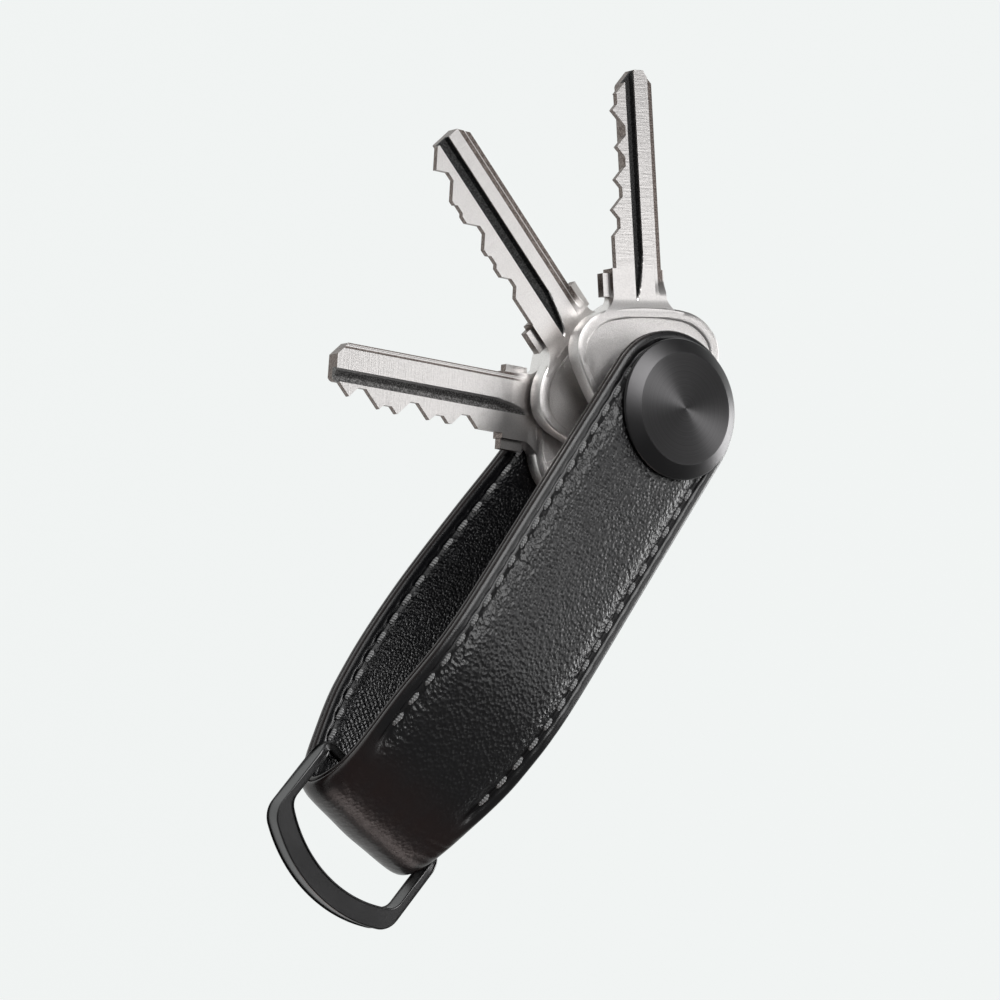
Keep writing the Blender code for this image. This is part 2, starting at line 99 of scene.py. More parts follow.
# Lining, likewise, its visible face below mid-thickness.
SEWN_LINING = (
    (0.22, -0.42), (0.06, -0.50), (0.0, -0.66), (0.0, -0.86), (0.08, -1.04), (0.28, -1.18), (0.62, -1.25),
    (0.98, -1.24), (1.26, -1.14), (1.44, -1.00), (1.58, -0.94), (1.76, -0.97), (2.0, -1.06), (2.5, -1.15),
    (3.1, -1.20), (3.8, -1.23), (4.4, -1.25), (5.0, -1.25),
)
OUTER_UNDERSIDE = ((0.30, -0.36), (0.95, -0.36), (1.12, 0.20), (5.0, 0.20))
LINING_UNDERSIDE = ((0.30, -0.42), (0.95, -0.42), (1.12, -0.42), (5.0, -0.42))

# Half of a key's bow, from its far end to the blade: (along, across), mm.
BOW_HALF = ((-4.6, 0.0), (-3.4, 5.0), (0.2, 8.1), (4.0, 10.3), (7.6, 11.6), (10.6, 10.7), (12.9, 7.2),
            (13.6, 0.0))
CUT_FIRST = 24.2         # centre of the cut nearest the shoulder
CUT_PITCH = 3.96
CUT_FLAT = 1.2
KEY_TIP = 44.0
# Each key: node, blade's direction in degrees, its cuts below the uncut edge, mm: land, five cuts, tip.
KEYS = (
    ("key_front", 130.7, (0.55, 1.6, 2.2, 2.95, 3.25, 2.1, 5.2)),
    ("key_middle", 168.0, (0.0, 1.05, 0.4, 1.45, 0.3, 1.85, 2.6)),
    ("key_rear", 212.2, (0.5, 1.95, 1.3, 2.3, 1.3, 2.85, 3.7)),
)


STITCH_SLANT = 2.0                     # degrees off the seam
# Creases where the ring's legs pinch the fold: place along from the fold's start, width, depth, mm.
PINCHES = ((1.2, 0.22, 0.10), (2.3, 0.28, 0.16), (3.3, 0.22, 0.12), (4.6, 0.30, 0.08))

# Each key's face, mm: groove (low, high, width of its slope, depth), how light the groove is, ledges
# towards the spine (where, drop), strips of painted shade towards the spine (low, high), and lugs (near, far,
# set back).
KEY_FACES = {
    "key_front": ((0.15, 1.65, 0.30, 0.62), 0.0, ((-1.65, 0.18), (-2.25, 0.25)),
                  ((-3.2, -2.28), (-1.72, -1.60)), ((4.9, 6.5, 0.6),)),
    "key_middle": ((0.35, 2.25, 0.30, 0.62), 0.0, ((-1.50, 0.22), (-2.3, 0.2)),
                   ((-3.2, -2.42), (-2.2, -1.5)), ((4.9, 6.4, 0.4), (-4.2, -2.8, 0.0))),
    "key_rear": ((0.35, 2.0, 0.9, 0.55), 0.75, ((-2.3, 0.12), (-2.75, 0.15)),
                 ((-3.2, -2.86), (-2.5, -2.28)), ((4.9, 6.6, 0.2), (-4.2, -2.8, 0.3))),
}

# The blade, mm from the post or from the key's axis.
NECK_FROM = 12.25
NECK_FLARE = 2.7                       # length over which the neck widens into the bow
TIP_BEVEL = 1.6                        # on the spine's side
GROOVE_FROM, GROOVE_CLOSING = 14.2, 5.8
THIN_FROM, THIN_STEP, THINNED_BY = 1.9, 0.15, 1.15

SPACER_HOLE, WASHER_HOLE = 2.45, 2.6
SCREW_SHANK, SCREW_HEAD = 1.45, 0.58   # radius and height
RING_TILT = 4.0                        # degrees the ring hangs below the strap's plane

# Each light: name, place, the point it faces, width and height in mm, power in watts, tint.
SOFTBOXES = (
    ("left_softbox", (-150, 170, 370), (0, -20, -10), (290, 290), 1.25, (1, 1, 1)),
    ("overhead_softbox", (260, 190, 330), (0, -20, -10), (260, 260), 0.30, (1, 1, 1)),
    ("right_softbox", (360, 240, 25), (0, -20, -10), (180, 220), 0.8, (1, 1, 1)),
    ("fold_softbox", (180, -430, -60), (0, -60, -15), (260, 200), 0.40, (1, 0.84, 0.80)),
)
WORLD_COLOUR, WORLD_STRENGTH = (0.30, 0.305, 0.31, 1), 0.35
FLOOR_SIDE, FLOOR_GLOW = 4.0, 0.985    # half the floor's width in m, and its own light
SENSOR_WIDTH = 36


# ---------------------------------------------------------------- settings

def length(name, description, mm, low=0.0):
    return FloatProperty(name=name, description=description, default=mm * MM, min=low * MM,
                         unit="LENGTH", precision=5)


def colour(name, description, rgb):
    return FloatVectorProperty(name=name, description=description, default=rgb, size=3, min=0, max=1,
                               subtype="COLOR")


class StrapSettings(bpy.types.PropertyGroup):
    half_width: length("Half width", "From the strap's middle to its edge", 10.15)
    fold_half_width: length("Half width at the fold", "Narrowed for the ring's legs", 9.1)
    hole: length("Post hole", "Radius of the strap's hole for the post", 2.6)
    crown: length("Crown", "How far the padded middle stands above its shoulders", 0.16)
    pressed: length("Pressed height", "Leather's height over mid-thickness under a cap", 1.24)
    seam: length("Seam", "From the edge to the line of stitches", 1.86)
    stitch_pitch: length("Stitch pitch", "From one stitch to the next", 3.05)
    stitch_length: length("Stitch length", "Length of the thread that shows", 1.95)
    stitch_width: length("Stitch width", "Width of the doubled thread", 0.62)
    step: length("Grid step", "Distance between sections along the strap", 0.35)
    leather: colour("Leather", "Colour of the outer leather", (0.0095, 0.0092, 0.0098))
    # painted sheen: a reddish colour painted over the fold, standing in for the highlight the leather catches
    # there
    fold_sheen: colour("Fold leather", "Warmer colour where the leather is stretched over the fold",
                 (0.020, 0.011, 0.010))
    lining: colour("Lining", "Colour of the lining", (0.004, 0.004, 0.005))
    thread: colour("Thread", "Colour of the stitches", (0.50, 0.50, 0.50))


class CapSettings(bpy.types.PropertyGroup):
    face_radius: length("Face radius", "Radius of the cap's flat spun face", 7.14)
    socket_radius: length("Socket radius", "Recess in the front cap for the post's flange", 4.4)
    socket_depth: length("Socket depth", "Depth of that recess from the face", 0.75)
    counterbore: length("Counterbore", "Radius of the rear cap's recess for the screw", 5.3)
    counterbore_depth: length("Counterbore depth", "Depth of that recess", 1.15)
    coin_slot: length("Coin slot", "Width of the screw's slot", 1.5)
    coin_slot_depth: length("Coin slot depth", "Depth of the screw's slot", 0.33)
    steps: IntProperty(name="Steps", description="Facets round a turned piece", default=192, min=16)
    metal: colour("Cap", "Colour of the dark anodised cap", (0.10, 0.098, 0.10))


class KeySettings(bpy.types.PropertyGroup):
    bow_half: length("Bow half thickness", "Half the thickness of the bow", 1.1)
    blade_half: length("Blade half thickness", "Half the thickness of the blade", 0.95)
    rim: length("Rim", "Width of the bow's raised rim", 1.35)
    recess: length("Recess", "Depth of the bow's sand-blasted field", 0.3)
    hole: length("Hole", "Radius of the hole on the post", 2.7)
    tip: length("Tip", "From the post to the blade's tip", KEY_TIP)
    shoulder: length("Shoulder", "From the post to the blade's stop", 18.4)
    spine: length("Spine", "From the key's axis to the blade's back", 3.0)
    edge: length("Uncut edge", "From the key's axis to the uncut edge", 5.2)
    metal: colour("Nickel silver", "Colour of the keys", (0.80, 0.775, 0.76))


class RingSettings(bpy.types.PropertyGroup):
    strip: length("Strip", "Thickness of the ring's legs in its plane", 1.1)
    bow_width: length("Bow", "Thickness of the bow, which thickens inward", 2.8)
    depth: length("Depth", "Width of the strip across the ring's plane", 2.6)
    half_width: length("Half width", "To the middle of a leg", 10.55)
    leg: length("Leg", "From the bar to where the bow starts", 11.0)
    reach: length("Reach", "From the bar to the middle of the bow", 14.2)
    corner: length("Corner", "Radius between a leg and the bow", 2.4)
    chamfer: length("Chamfer", "Width of the broken edges", 0.2)
    bar_share: FloatProperty(name="Bar", description="Bar's depth as a share of the legs'",
                             default=0.42, min=0.1)
    metal: colour("Ring", "Colour of the black ring", (0.11, 0.109, 0.11))


class StageSettings(bpy.types.PropertyGroup):
    azimuth: FloatProperty(name="Azimuth", description="Camera's direction round the object, degrees",
                           default=-45.21)
    elevation: FloatProperty(name="Elevation", description="Camera's height above the horizon, degrees",
                             default=52.92)
    roll: FloatProperty(name="Roll", description="Camera's turn about its own axis, degrees", default=83.82)
    distance: length("Distance", "From the camera to the point it looks at", 459.6)
    lens: FloatProperty(name="Lens", description="Focal length on a 36 mm sensor, mm", default=133.18)
    aim: FloatVectorProperty(name="Aim", description="Point that the camera looks at", size=3, unit="LENGTH",
                             default=(-0.01013, -0.02266, -0.010))
    floor: colour("Floor", "Colour of the pale floor", (0.871, 0.896, 0.888))
    drop: length("Drop", "From the object's lowest point to the floor", 220.0)


SETTINGS = {
    "organiser_strap": StrapSettings, "organiser_caps": CapSettings, "organiser_keys": KeySettings,
    "organiser_ring": RingSettings, "organiser_stage": StageSettings,
}


# ---------------------------------------------------------------- geometry on grids

def smooth_curve(points, spans, closed=False):
    """Catmull-Rom: on each span the cubic through its two ends, whose slopes are half the chord
    between their neighbours."""
    p = np.asarray(points, float)
    before = np.vstack([p[-1:] if closed else p[:1], p])
    after = np.vstack([before, p[:2] if closed else p[-1:]])
    a, b, c, d = (after[i:len(after) - 3 + i, None] for i in range(4))
    t = (np.arange(spans) / spans)[None, :, None]
    curve = 0.5 * (2 * b + (c - a) * t + (2 * a - 5 * b + 4 * c - d) * t ** 2
                   + (3 * b - a - 3 * c + d) * t ** 3)
    curve = curve.reshape(-1, p.shape[1])
    return curve if closed else np.vstack([curve, p[-1:]])


def ramp(x, start, end):
    """0 before start, 1 after end, and 3t^2 - 2t^3 between them."""
    t = np.clip((np.asarray(x, float) - start) / (end - start), 0, 1)
    return t * t * (3 - 2 * t)


def softened(profile, radius, closed=True, steps=3):
    """Each corner of a polyline is replaced by the quadratic Bezier curve whose ends lie a radius
    away from it, or a third of the shorter side where that is less."""
    p = np.asarray(profile, float)
    to_last = np.roll(p, 1, 0) - p
    to_next = np.roll(p, -1, 0) - p
    last_length = np.linalg.norm(to_last, axis=1)
    next_length = np.linalg.norm(to_next, axis=1)
    cut = np.minimum(radius, np.minimum(last_length, next_length) / 3)[:, None]
    start = p + to_last / last_length[:, None] * cut
    end = p + to_next / next_length[:, None] * cut
    t = np.linspace(0, 1, steps + 1)[None, :, None]
    curve = (1 - t) ** 2 * start[:, None] + 2 * t * (1 - t) * p[:, None] + t ** 2 * end[:, None]
    if closed:
        return curve.reshape(-1, p.shape[1])
    return np.vstack([p[:1], curve[1:-1].reshape(-1, p.shape[1]), p[-1:]])


def grid_faces(rows, columns, wrap_rows=False, wrap_columns=False, start=0):
    """Quads of a grid whose point (row, column) has the index start + row * columns + column."""
    r = np.arange(rows if wrap_rows else rows - 1)
    c = np.arange(columns if wrap_columns else columns - 1)
    r, c = (a.ravel() for a in np.meshgrid(r, c, indexing="ij"))
    r1, c1 = (r + 1) % rows, (c + 1) % columns
    return start + np.stack([r * columns + c, r * columns + c1, r1 * columns + c1, r1 * columns + c], 1)


def add_piece(name, vertices, faces, paint=None, flat=None, sharp=40, body=HOME):
    """A mesh, in mm, welded, with its faces turned outwards; flat is a point attribute that holds
    where each point lay before the sheet was bent."""
    mesh = bpy.data.meshes.new(name)
    mesh.from_pydata(np.asarray(vertices, float) * MM, [], faces)
    if flat is not None:
        held = mesh.attributes.new("flat", "FLOAT_VECTOR", "POINT")
        held.data.foreach_set("vector", np.asarray(flat, np.float32).ravel())
    work = bmesh.new()
    work.from_mesh(mesh)
    bmesh.ops.remove_doubles(work, verts=work.verts, dist=0.000002)
    bmesh.ops.dissolve_degenerate(work, edges=work.edges, dist=0.0000005)
    bmesh.ops.recalc_face_normals(work, faces=work.faces)
    work.to_mesh(mesh)
    work.free()
    mesh.shade_smooth()
    mesh.set_sharp_from_angle(angle=radians(sharp))
    piece = bpy.data.objects.new(name, mesh)
    bpy.context.scene.collection.objects.link(piece)
    if paint:
        mesh.materials.append(paint)
    if body:
        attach(piece, body)
    return piece


def turned(name, profile, steps, paint, body=HOME, centre=(0.0, 0.0)):
    """A closed profile of (radius, z) carried round the post: (r cos a, r sin a, z)."""
    p = np.asarray(profile, float)
    a = np.arange(steps) * 2 * pi / steps
    points = np.stack([np.outer(np.cos(a), p[:, 0]) + centre[0], np.outer(np.sin(a), p[:, 0]) + centre[1],
                       np.broadcast_to(p[:, 1], (steps, len(p)))], 2)
    open_axis = p[:, 0].min() > 1e-6
    faces = grid_faces(steps, len(p), wrap_rows=True, wrap_columns=open_axis)
    return add_piece(name, points.reshape(-1, 3), faces, paint, sharp=30, body=body)


def boolean(piece, operation, *tools):
    """Joins or cuts a piece with closed tools, applies the result and removes the tools."""
    for tool in tools:
        modifier = piece.modifiers.new(operation.lower(), "BOOLEAN")
        modifier.operation = operation
        modifier.object = tool
        modifier.solver = "EXACT"
    depsgraph = bpy.context.evaluated_depsgraph_get()
    mesh = bpy.data.meshes.new_from_object(piece.evaluated_get(depsgraph))
    piece.modifiers.clear()
    piece.data = mesh
    for tool in tools:
        bpy.data.objects.remove(tool)


def box_tool(name, low, high, turn=0.0):
    """A plain block between two corners, mm, turned about the post by so many degrees."""
    corners = np.array(np.meshgrid(*zip(low, high), indexing="ij")).reshape(3, -1).T
    faces = np.array([[0, 1, 3, 2], [4, 6, 7, 5], [0, 4, 5, 1], [2, 3, 7, 6], [0, 2, 6, 4], [1, 5, 7, 3]])
    return add_piece(name, turn_about_post(corners, turn), faces, body=None)


def turn_about_post(points, degrees):
    c, s = cos(radians(degrees)), sin(radians(degrees))
    p = np.asarray(points, float)
    return np.stack([p[..., 0] * c - p[..., 1] * s, p[..., 0] * s + p[..., 1] * c, p[..., 2]], -1)


# ---------------------------------------------------------------- materials

class Paint:
    """A material's node tree with short calls for the nodes that these finishes share."""

    def __init__(self, name, roughness, metallic=0.0, colour=None):
        self.material = bpy.data.materials.new(name)
        self.material.use_nodes = True
        self.tree = self.material.node_tree
        self.shader = self.tree.nodes["Principled BSDF"]
        self.set("Roughness", roughness)
        self.set("Metallic", metallic)
        if colour is not None:
            self.set("Base Color", (*colour, 1.0))
        self.height = None

    def set(self, socket, value):
        self.shader.inputs[socket].default_value = value

    def node(self, kind, **inputs):
        made = self.tree.nodes.new(f"ShaderNode{kind}")
        for key, value in inputs.items():
            socket = made.inputs[key.replace("_", " ")]
            if isinstance(value, bpy.types.NodeSocket):
                self.tree.links.new(value, socket)
            else:
                socket.default_value = value
        return made

    def place(self, attribute=None, turn=0.0, scale=(1, 1, 1)):
        """Object coordinates, or a point attribute, turned about Z by degrees and stretched."""
        if attribute:
            source = self.tree.nodes.new("ShaderNodeAttribute")
            source.attribute_name = attribute
            vector = source.outputs["Vector"]
        else:
            vector = self.tree.nodes.new("ShaderNodeTexCoord").outputs["Object"]
        if turn:
            spun = self.node("Mapping", Vector=vector, Rotation=(0, 0, radians(turn)))
            vector = spun.outputs["Vector"]
        return self.node("Mapping", Vector=vector, Scale=scale).outputs["Vector"]

    def parts(self, vector):
        return self.node("SeparateXYZ", Vector=vector).outputs

    def math(self, operation, a, b=0.0, c=0.0):
        made = self.tree.nodes.new("ShaderNodeMath")
        made.operation = operation
        for socket, value in zip(made.inputs, (a, b, c)):
            if isinstance(value, bpy.types.NodeSocket):
                self.tree.links.new(value, socket)
            else:
                socket.default_value = value
        return made.outputs[0]

    def band(self, value, start, end, low=0.0, high=1.0):
        """Low before start, high after end, smooth between."""
        made = self.node("MapRange", Value=value, From_Min=start, From_Max=end, To_Min=low, To_Max=high)
        made.interpolation_type = "SMOOTHSTEP"
        return made.outputs[0]

    def noise(self, vector, scale, detail=3.0, rough=0.5):
        made = self.node("TexNoise", Vector=vector, Scale=scale, Detail=detail, Roughness=rough)
        return made.outputs["Fac"]

    def cells(self, vector, scale, feature="SMOOTH_F1"):
        made = self.tree.nodes.new("ShaderNodeTexVoronoi")
        made.feature = feature
        self.tree.links.new(vector, made.inputs["Vector"])
        made.inputs["Scale"].default_value = scale
        if feature == "SMOOTH_F1":
            made.inputs["Smoothness"].default_value = 0.35
        return made.outputs["Distance"]

    def mix(self, factor, a, b):
        """Colour a where the factor is 0 and b where it is 1."""
        made = self.tree.nodes.new("ShaderNodeMix")
        made.data_type = "RGBA"
        for socket, value in ((made.inputs[0], factor), (made.inputs[6], a), (made.inputs[7], b)):
            if isinstance(value, bpy.types.NodeSocket):
                self.tree.links.new(value, socket)
            elif isinstance(value, float):
                socket.default_value = value
            else:
                socket.default_value = (*value, 1.0)
        return made.outputs[2]

    def link(self, socket, value):
        self.tree.links.new(value, self.shader.inputs[socket])

    def bump(self, height, distance_mm, strength=1.0):
        made = self.node("Bump", Height=height, Distance=distance_mm * MM, Strength=strength)
        if self.height:
            self.tree.links.new(self.height, made.inputs["Normal"])
        self.height = made.outputs["Normal"]
        self.tree.links.new(self.height, self.shader.inputs["Normal"])


def leather_paint(name, base, fold_sheen, grain_mm, fold_from, fold_to, shine, ribs=False):
    """Pebbled leather: rounded cells with finer ones between them, creased across beside the
    seam, smoother on the fold, with a reddish painted sheen mixed into its colour there. The attribute holds
    (across, along, in from edge), mm."""
    paint = Paint(name, 0.42)
    flat = paint.place("flat")
    across, along, inward = paint.parts(flat)
    warp = paint.noise(flat, 0.9, 2)
    pebble = paint.cells(paint.place("flat", scale=(1.0, 0.82, 0.0)), 1 / grain_mm)
    fine = paint.noise(paint.place("flat", scale=(1.0, 1.0, 0.0)), 2.6 / grain_mm, 3)
    middle = paint.band(inward, 1.7, 2.6)
    on_fold = paint.math("MULTIPLY", paint.band(along, fold_from - 4, fold_from + 3),
                         paint.band(along, fold_to - 3, fold_to + 4, 1, 0))
    calm = paint.band(on_fold, 0, 1, 1, 0.3)
    grain = paint.math("MULTIPLY", paint.math("MULTIPLY", pebble, middle), calm)
    crease_ground = paint.math("MULTIPLY_ADD", across, -0.55, along)
    crease = paint.noise(paint.node("CombineXYZ", X=paint.math("MULTIPLY", across, 0.55), Y=crease_ground)
                         .outputs[0], 1.6, 2)
    crumple = paint.math("MULTIPLY", paint.band(inward, 1.8, 2.4), paint.band(inward, 3.2, 4.8, 1, 0))
    paint.bump(grain, 0.13, 1.0)
    crumple = paint.math("MULTIPLY", crumple, paint.band(on_fold, 0, 0.7, 1, 0.1))
    paint.bump(paint.math("MULTIPLY", crease, crumple), 0.20, 0.8)
    paint.bump(fine, 0.035, 0.55)
    if ribs:
        climb = paint.math("MULTIPLY", along, 7.8)
        stripe = paint.math("SINE", paint.math("MULTIPLY_ADD", across, 5.2, climb))
        where = paint.math("MULTIPLY", paint.band(along, fold_to + 1, fold_to + 3),
                           paint.band(along, fold_to + 11, fold_to + 14, 1, 0))
        where = paint.math("MULTIPLY", where, paint.band(inward, 2.6, 3.4))
        paint.bump(paint.math("MULTIPLY", stripe, where), 0.05, 0.8)
    worn = paint.noise(flat, 0.35, 4)
    edge = paint.band(inward, 0.05, 0.35, 1, 0)
    # painted sheen: the colour is mixed towards a reddish tone over the fold, where the leather catches light
    shade = paint.mix(on_fold, base, fold_sheen)
    shade = paint.mix(paint.math("MULTIPLY", paint.band(worn, 0.35, 0.75), 0.35), shade,
                      tuple(min(1.0, c * 1.7) for c in base))
    shade = paint.mix(paint.math("MULTIPLY", edge, 0.6), shade, (0.022, 0.013, 0.012))
    paint.link("Base Color", shade)
    rough = paint.math("MULTIPLY_ADD", paint.noise(flat, 1.3, 3), 0.14, 0.22)
    rough = paint.math("MULTIPLY_ADD", paint.band(inward, 1.0, 2.2), 0.05, rough)
    paint.link("Roughness", rough)
    paint.set("Specular IOR Level", shine)
    return paint.material


def thread_paint(base):
    """Waxed thread: the twist's oblique stripes, from the stitch's own length and girth, with painted shade
    darkening the grooves between strands.
    """
    paint = Paint("waxed_thread", 0.55, colour=base)
    girth, along, _ = paint.parts(paint.place("flat"))
    twist = paint.math("SINE", paint.math("MULTIPLY_ADD", along, 16.0, girth))
    paint.bump(twist, 0.06, 0.8)
    # painted shade: the thread's colour darkens in the twist's grooves, following the bump's low strands
    paint.link("Base Color", paint.mix(paint.band(twist, -0.6, 0.9), tuple(c * 0.45 for c in base), base))
    return paint.material


def spun_paint(name, base, roughness, anisotropy, ring_pitch_mm, depth_mm):
    """Lathe-turned metal: rings round the post's axis, and a highlight drawn across them."""
    paint = Paint(name, roughness, 1.0, base)
    place = paint.place()
    x, y, _ = paint.parts(place)
    radius = paint.math("SQRT", paint.math("ADD", paint.math("MULTIPLY", x, x), paint.math("MULTIPLY", y, y)))
    rings = paint.noise(paint.node("CombineXYZ", X=radius).outputs[0], 1 / (ring_pitch_mm * MM), 2)
    paint.bump(rings, depth_mm, 0.6)
    paint.set("Anisotropic", anisotropy)
    paint.set("Anisotropic Rotation", 0.25)
    tangent = paint.tree.nodes.new("ShaderNodeTangent")
    tangent.direction_type = "RADIAL"
    tangent.axis = "Z"
    paint.link("Tangent", tangent.outputs[0])
    paint.link("Base Color", paint.mix(paint.band(rings, 0.3, 0.7), tuple(c * 0.8 for c in base), base))
    return paint.material


def satin_paint(name, base, roughness, metallic, grain_mm=0.25, depth_mm=0.012, spread=0.12):
    """Blasted or moulded surface: a fine even grain, with roughness that wanders slowly."""
    paint = Paint(name, roughness, metallic, base)
    place = paint.place()
    grain = paint.noise(place, 1 / (grain_mm * MM), 3)
    paint.bump(grain, depth_mm, 0.7)
    wander = paint.noise(place, 180, 3)
    paint.link("Roughness", paint.math("MULTIPLY_ADD", wander, spread, roughness - spread / 2))
    paint.link("Base Color", paint.mix(paint.band(wander, 0.3, 0.7), tuple(c * 0.85 for c in base), base))
    return paint.material


def key_paint(name, base, direction, top_mm, groove, groove_light, shade_bands):
    """Milled nickel silver, laid out along and across the blade: a grainy groove whose colour is darkened
    as painted shade in the recess, dark brown strips of painted shade towards the spine, cut flanks darkened
    as painted shade, and a blasted bow."""
    paint = Paint(name, 0.3, 1.0, base)
    place = paint.place(turn=-direction, scale=(1 / MM,) * 3)
    along, across, height = paint.parts(place)
    strokes = paint.noise(paint.place(turn=-direction, scale=(1 / MM, 0.08 / MM, 0.3 / MM)), 4.2, 3, 0.6)
    drawn = paint.noise(paint.place(turn=-direction, scale=(0.05 / MM, 1 / MM, 0.3 / MM)), 6.0, 2, 0.6)
    speck = paint.noise(place, 5.5, 4, 0.7)
    blade = paint.band(along, 17.5, 19.0)
    facing = paint.tree.nodes.new("ShaderNodeTexCoord").outputs["Normal"]
    flatness = paint.math("ABSOLUTE", paint.parts(facing)[2])

    def inside(low, high):
        return paint.math("MULTIPLY", paint.band(across, low - 0.05, low + 0.05),
                          paint.band(across, high - 0.05, high + 0.05, 1, 0))
    below = paint.band(height, top_mm - 0.20, top_mm - 0.05, 1, 0)
    ditch = paint.math("MULTIPLY", inside(groove[0] - 0.1, groove[1] + 0.1), below)
    ditch = paint.math("MULTIPLY", ditch, paint.band(along, 13.6, 14.0))
    ditch = paint.math("MULTIPLY", ditch, paint.band(height, top_mm - 1.0, top_mm - 0.9))
    flats = paint.mix(paint.math("MULTIPLY", paint.band(speck, 0.35, 0.7), 0.35), base,
                      tuple(c * 0.62 for c in base))
    # the dark brown colour of the painted shade on the spine-side strips and the cut flanks
    worn = paint.mix(paint.band(speck, 0.40, 0.66), (0.10, 0.080, 0.072), (0.30, 0.26, 0.24))
    # painted shade: strips towards the spine, where the lower ledges lie, take the dark brown colour
    spine_side_shade = 0.0
    for low, high in shade_bands:
        spine_side_shade = paint.math("MAXIMUM", inside(low, high), spine_side_shade)
    spine_side_shade = paint.math("MULTIPLY", spine_side_shade, paint.band(along, 15.0, 17.5))
    # painted shade: faces near the shoulder that turn away from the flat take the dark brown colour, by their
    # slope
    flank_shade = paint.math("MULTIPLY", paint.band(flatness, 0.35, 0.6, 1, 0), paint.band(along, 14.5, 16.0))
    shade = paint.mix(paint.math("MAXIMUM", spine_side_shade, flank_shade), flats, worn)
    groove_speckle = paint.band(speck, 0.40, 0.72)
    # grain with painted shade: the groove's colour is speckled for its grain and darkened as painted shade in
    # the recess; groove_light sets how dark
    dark = paint.mix(groove_speckle, tuple(0.030 + c * 0.10 * groove_light for c in base),
                     tuple(0.12 + c * 0.55 * groove_light for c in base))
    paint.link("Base Color", paint.mix(ditch, shade, dark))
    bow = paint.band(along, 12.0, 13.0, 1, 0)
    rough = paint.math("MULTIPLY_ADD", ditch, 0.30, 0.25)
    rough = paint.math("MULTIPLY_ADD", bow, 0.14, rough)
    rough = paint.math("MULTIPLY_ADD", speck, 0.12, rough)
    paint.link("Roughness", rough)
    paint.bump(paint.math("MULTIPLY", strokes, blade), 0.030, 0.9)
    paint.bump(paint.math("MULTIPLY", drawn, paint.band(along, 12.5, 14.0)), 0.012, 0.6)
    paint.bump(paint.math("MULTIPLY", speck, paint.math("ADD", bow, ditch)), 0.045, 0.9)
    return paint.material


# ---------------------------------------------------------------- strap

class StrapSheet:
    """The strap as a flat strip that is bent along its mid-line. A point is (x across, s along
    from the front end, n out from mid-thickness away from the keys), all in mm."""

    def __init__(self, settings):
        path = smooth_curve(STRAP_PATH, 40)
        run = np.r_[0, np.cumsum(np.linalg.norm(np.diff(path, axis=0), axis=1))]
        self.length = run[-1]
        self.run = np.linspace(0, self.length, 3000)
        self.y, self.z = (np.interp(self.run, run, path[:, i]) for i in (0, 1))
        slope = np.stack([np.gradient(self.y), np.gradient(self.z)], 1)
        kernel = np.ones(31) / 31
        for i in (0, 1):
            padded = np.pad(slope[:, i], 15, mode="edge")
            slope[:, i] = np.convolve(padded, kernel, "valid")
        slope /= np.linalg.norm(slope, axis=1)[:, None]
        self.ny, self.nz = slope[:, 1], -slope[:, 0]
        self.round = settings.half_width / MM
        self.narrow = settings.fold_half_width / MM
        self.hole = settings.hole / MM
        turn = int(np.argmin(self.y))
        front, rear = self.run[:turn], self.run[turn:]
        self.at_front = lambda y: float(np.interp(-y, -self.y[:turn], front))
        self.at_rear = lambda y: float(np.interp(y, self.y[turn:], rear))

    def bend(self, x, s, n):
        """Flat point to place: the mid-line's point at s, plus n along its normal, x across."""
        y = np.interp(s, self.run, self.y) + n * np.interp(s, self.run, self.ny)
        z = np.interp(s, self.run, self.z) + n * np.interp(s, self.run, self.nz)
        return np.stack([np.broadcast_to(x, y.shape), y, z], -1)

    def half(self, s):
        """Half width: full, drawn in smoothly round the fold."""
        drawn = ramp(s, self.at_front(-51.0), self.at_front(-64.0))
        drawn = drawn * (1 - ramp(s, self.at_rear(-64.0), self.at_rear(-51.0)))
        return self.round - (self.round - self.narrow) * drawn

    def unsewn(self, s):
        """1 on the fold, where the seam stops, and 0 along the sewn halves."""
        into = ramp(s, self.at_front(-56.5), self.at_front(-61.0))
        return into * (1 - ramp(s, self.at_rear(-62.0), self.at_rear(-59.0)))

    def rays(self, step):
        """Closed loop of rays round the strap's outline: each from its edge point straight in to
        the middle line, or to the wall of the post's hole. Ends are half circles."""
        end, hole, total = self.round, self.hole, self.length
        turn = np.linspace(0, pi / 2, 40)[:-1]
        middle = np.linspace(end, total - end, int((total - 2 * end) / step))
        near = np.minimum(middle - end, total - end - middle)
        edge_x = np.r_[end * np.sin(turn), self.half(middle), end * np.sin(turn[::-1])]
        edge_s = np.r_[end - end * np.cos(turn), middle, total - end + end * np.cos(turn[::-1])]
        in_x = np.r_[hole * np.sin(turn), np.sqrt(np.maximum(hole ** 2 - near ** 2, 0)),
                     hole * np.sin(turn[::-1])]
        in_s = np.r_[end - hole * np.cos(turn), middle, total - end + hole * np.cos(turn[::-1])]
        edge, inner = np.stack([edge_x, edge_s], 1), np.stack([in_x, in_s], 1)
        mirror = np.array([-1.0, 1.0])
        return (np.vstack([edge, edge[-2:0:-1] * mirror]), np.vstack([inner, inner[-2:0:-1] * mirror]))


def laid_section(sheet, rays, sewn, plain, inner_points):
    """Distances in from the edge and heights on every ray: the sewn section blended into the
    plain one over the fold, then even steps to the middle."""
    edge, inner = rays
    reach = np.linalg.norm(inner - edge, axis=1)
    unsewn = sheet.unsewn(edge[:, 1])[:, None]
    sewn, plain = smooth_curve(sewn, 2), smooth_curve(plain, 2)
    d = sewn[None, :, 0] * (1 - unsewn) + plain[None, :, 0] * unsewn
    n = sewn[None, :, 1] * (1 - unsewn) + plain[None, :, 1] * unsewn
    t = np.linspace(0, 1, inner_points + 1)[None, 1:]
    further = d[:, -1:] + (reach[:, None] - d[:, -1:]) * t
    d = np.hstack([d, further])
    n = np.hstack([n, np.repeat(n[:, -1:], inner_points, 1)])
    along = (inner - edge) / reach[:, None]
    flat = edge[:, None] + along[:, None] * d[..., None]
    return flat, d, n


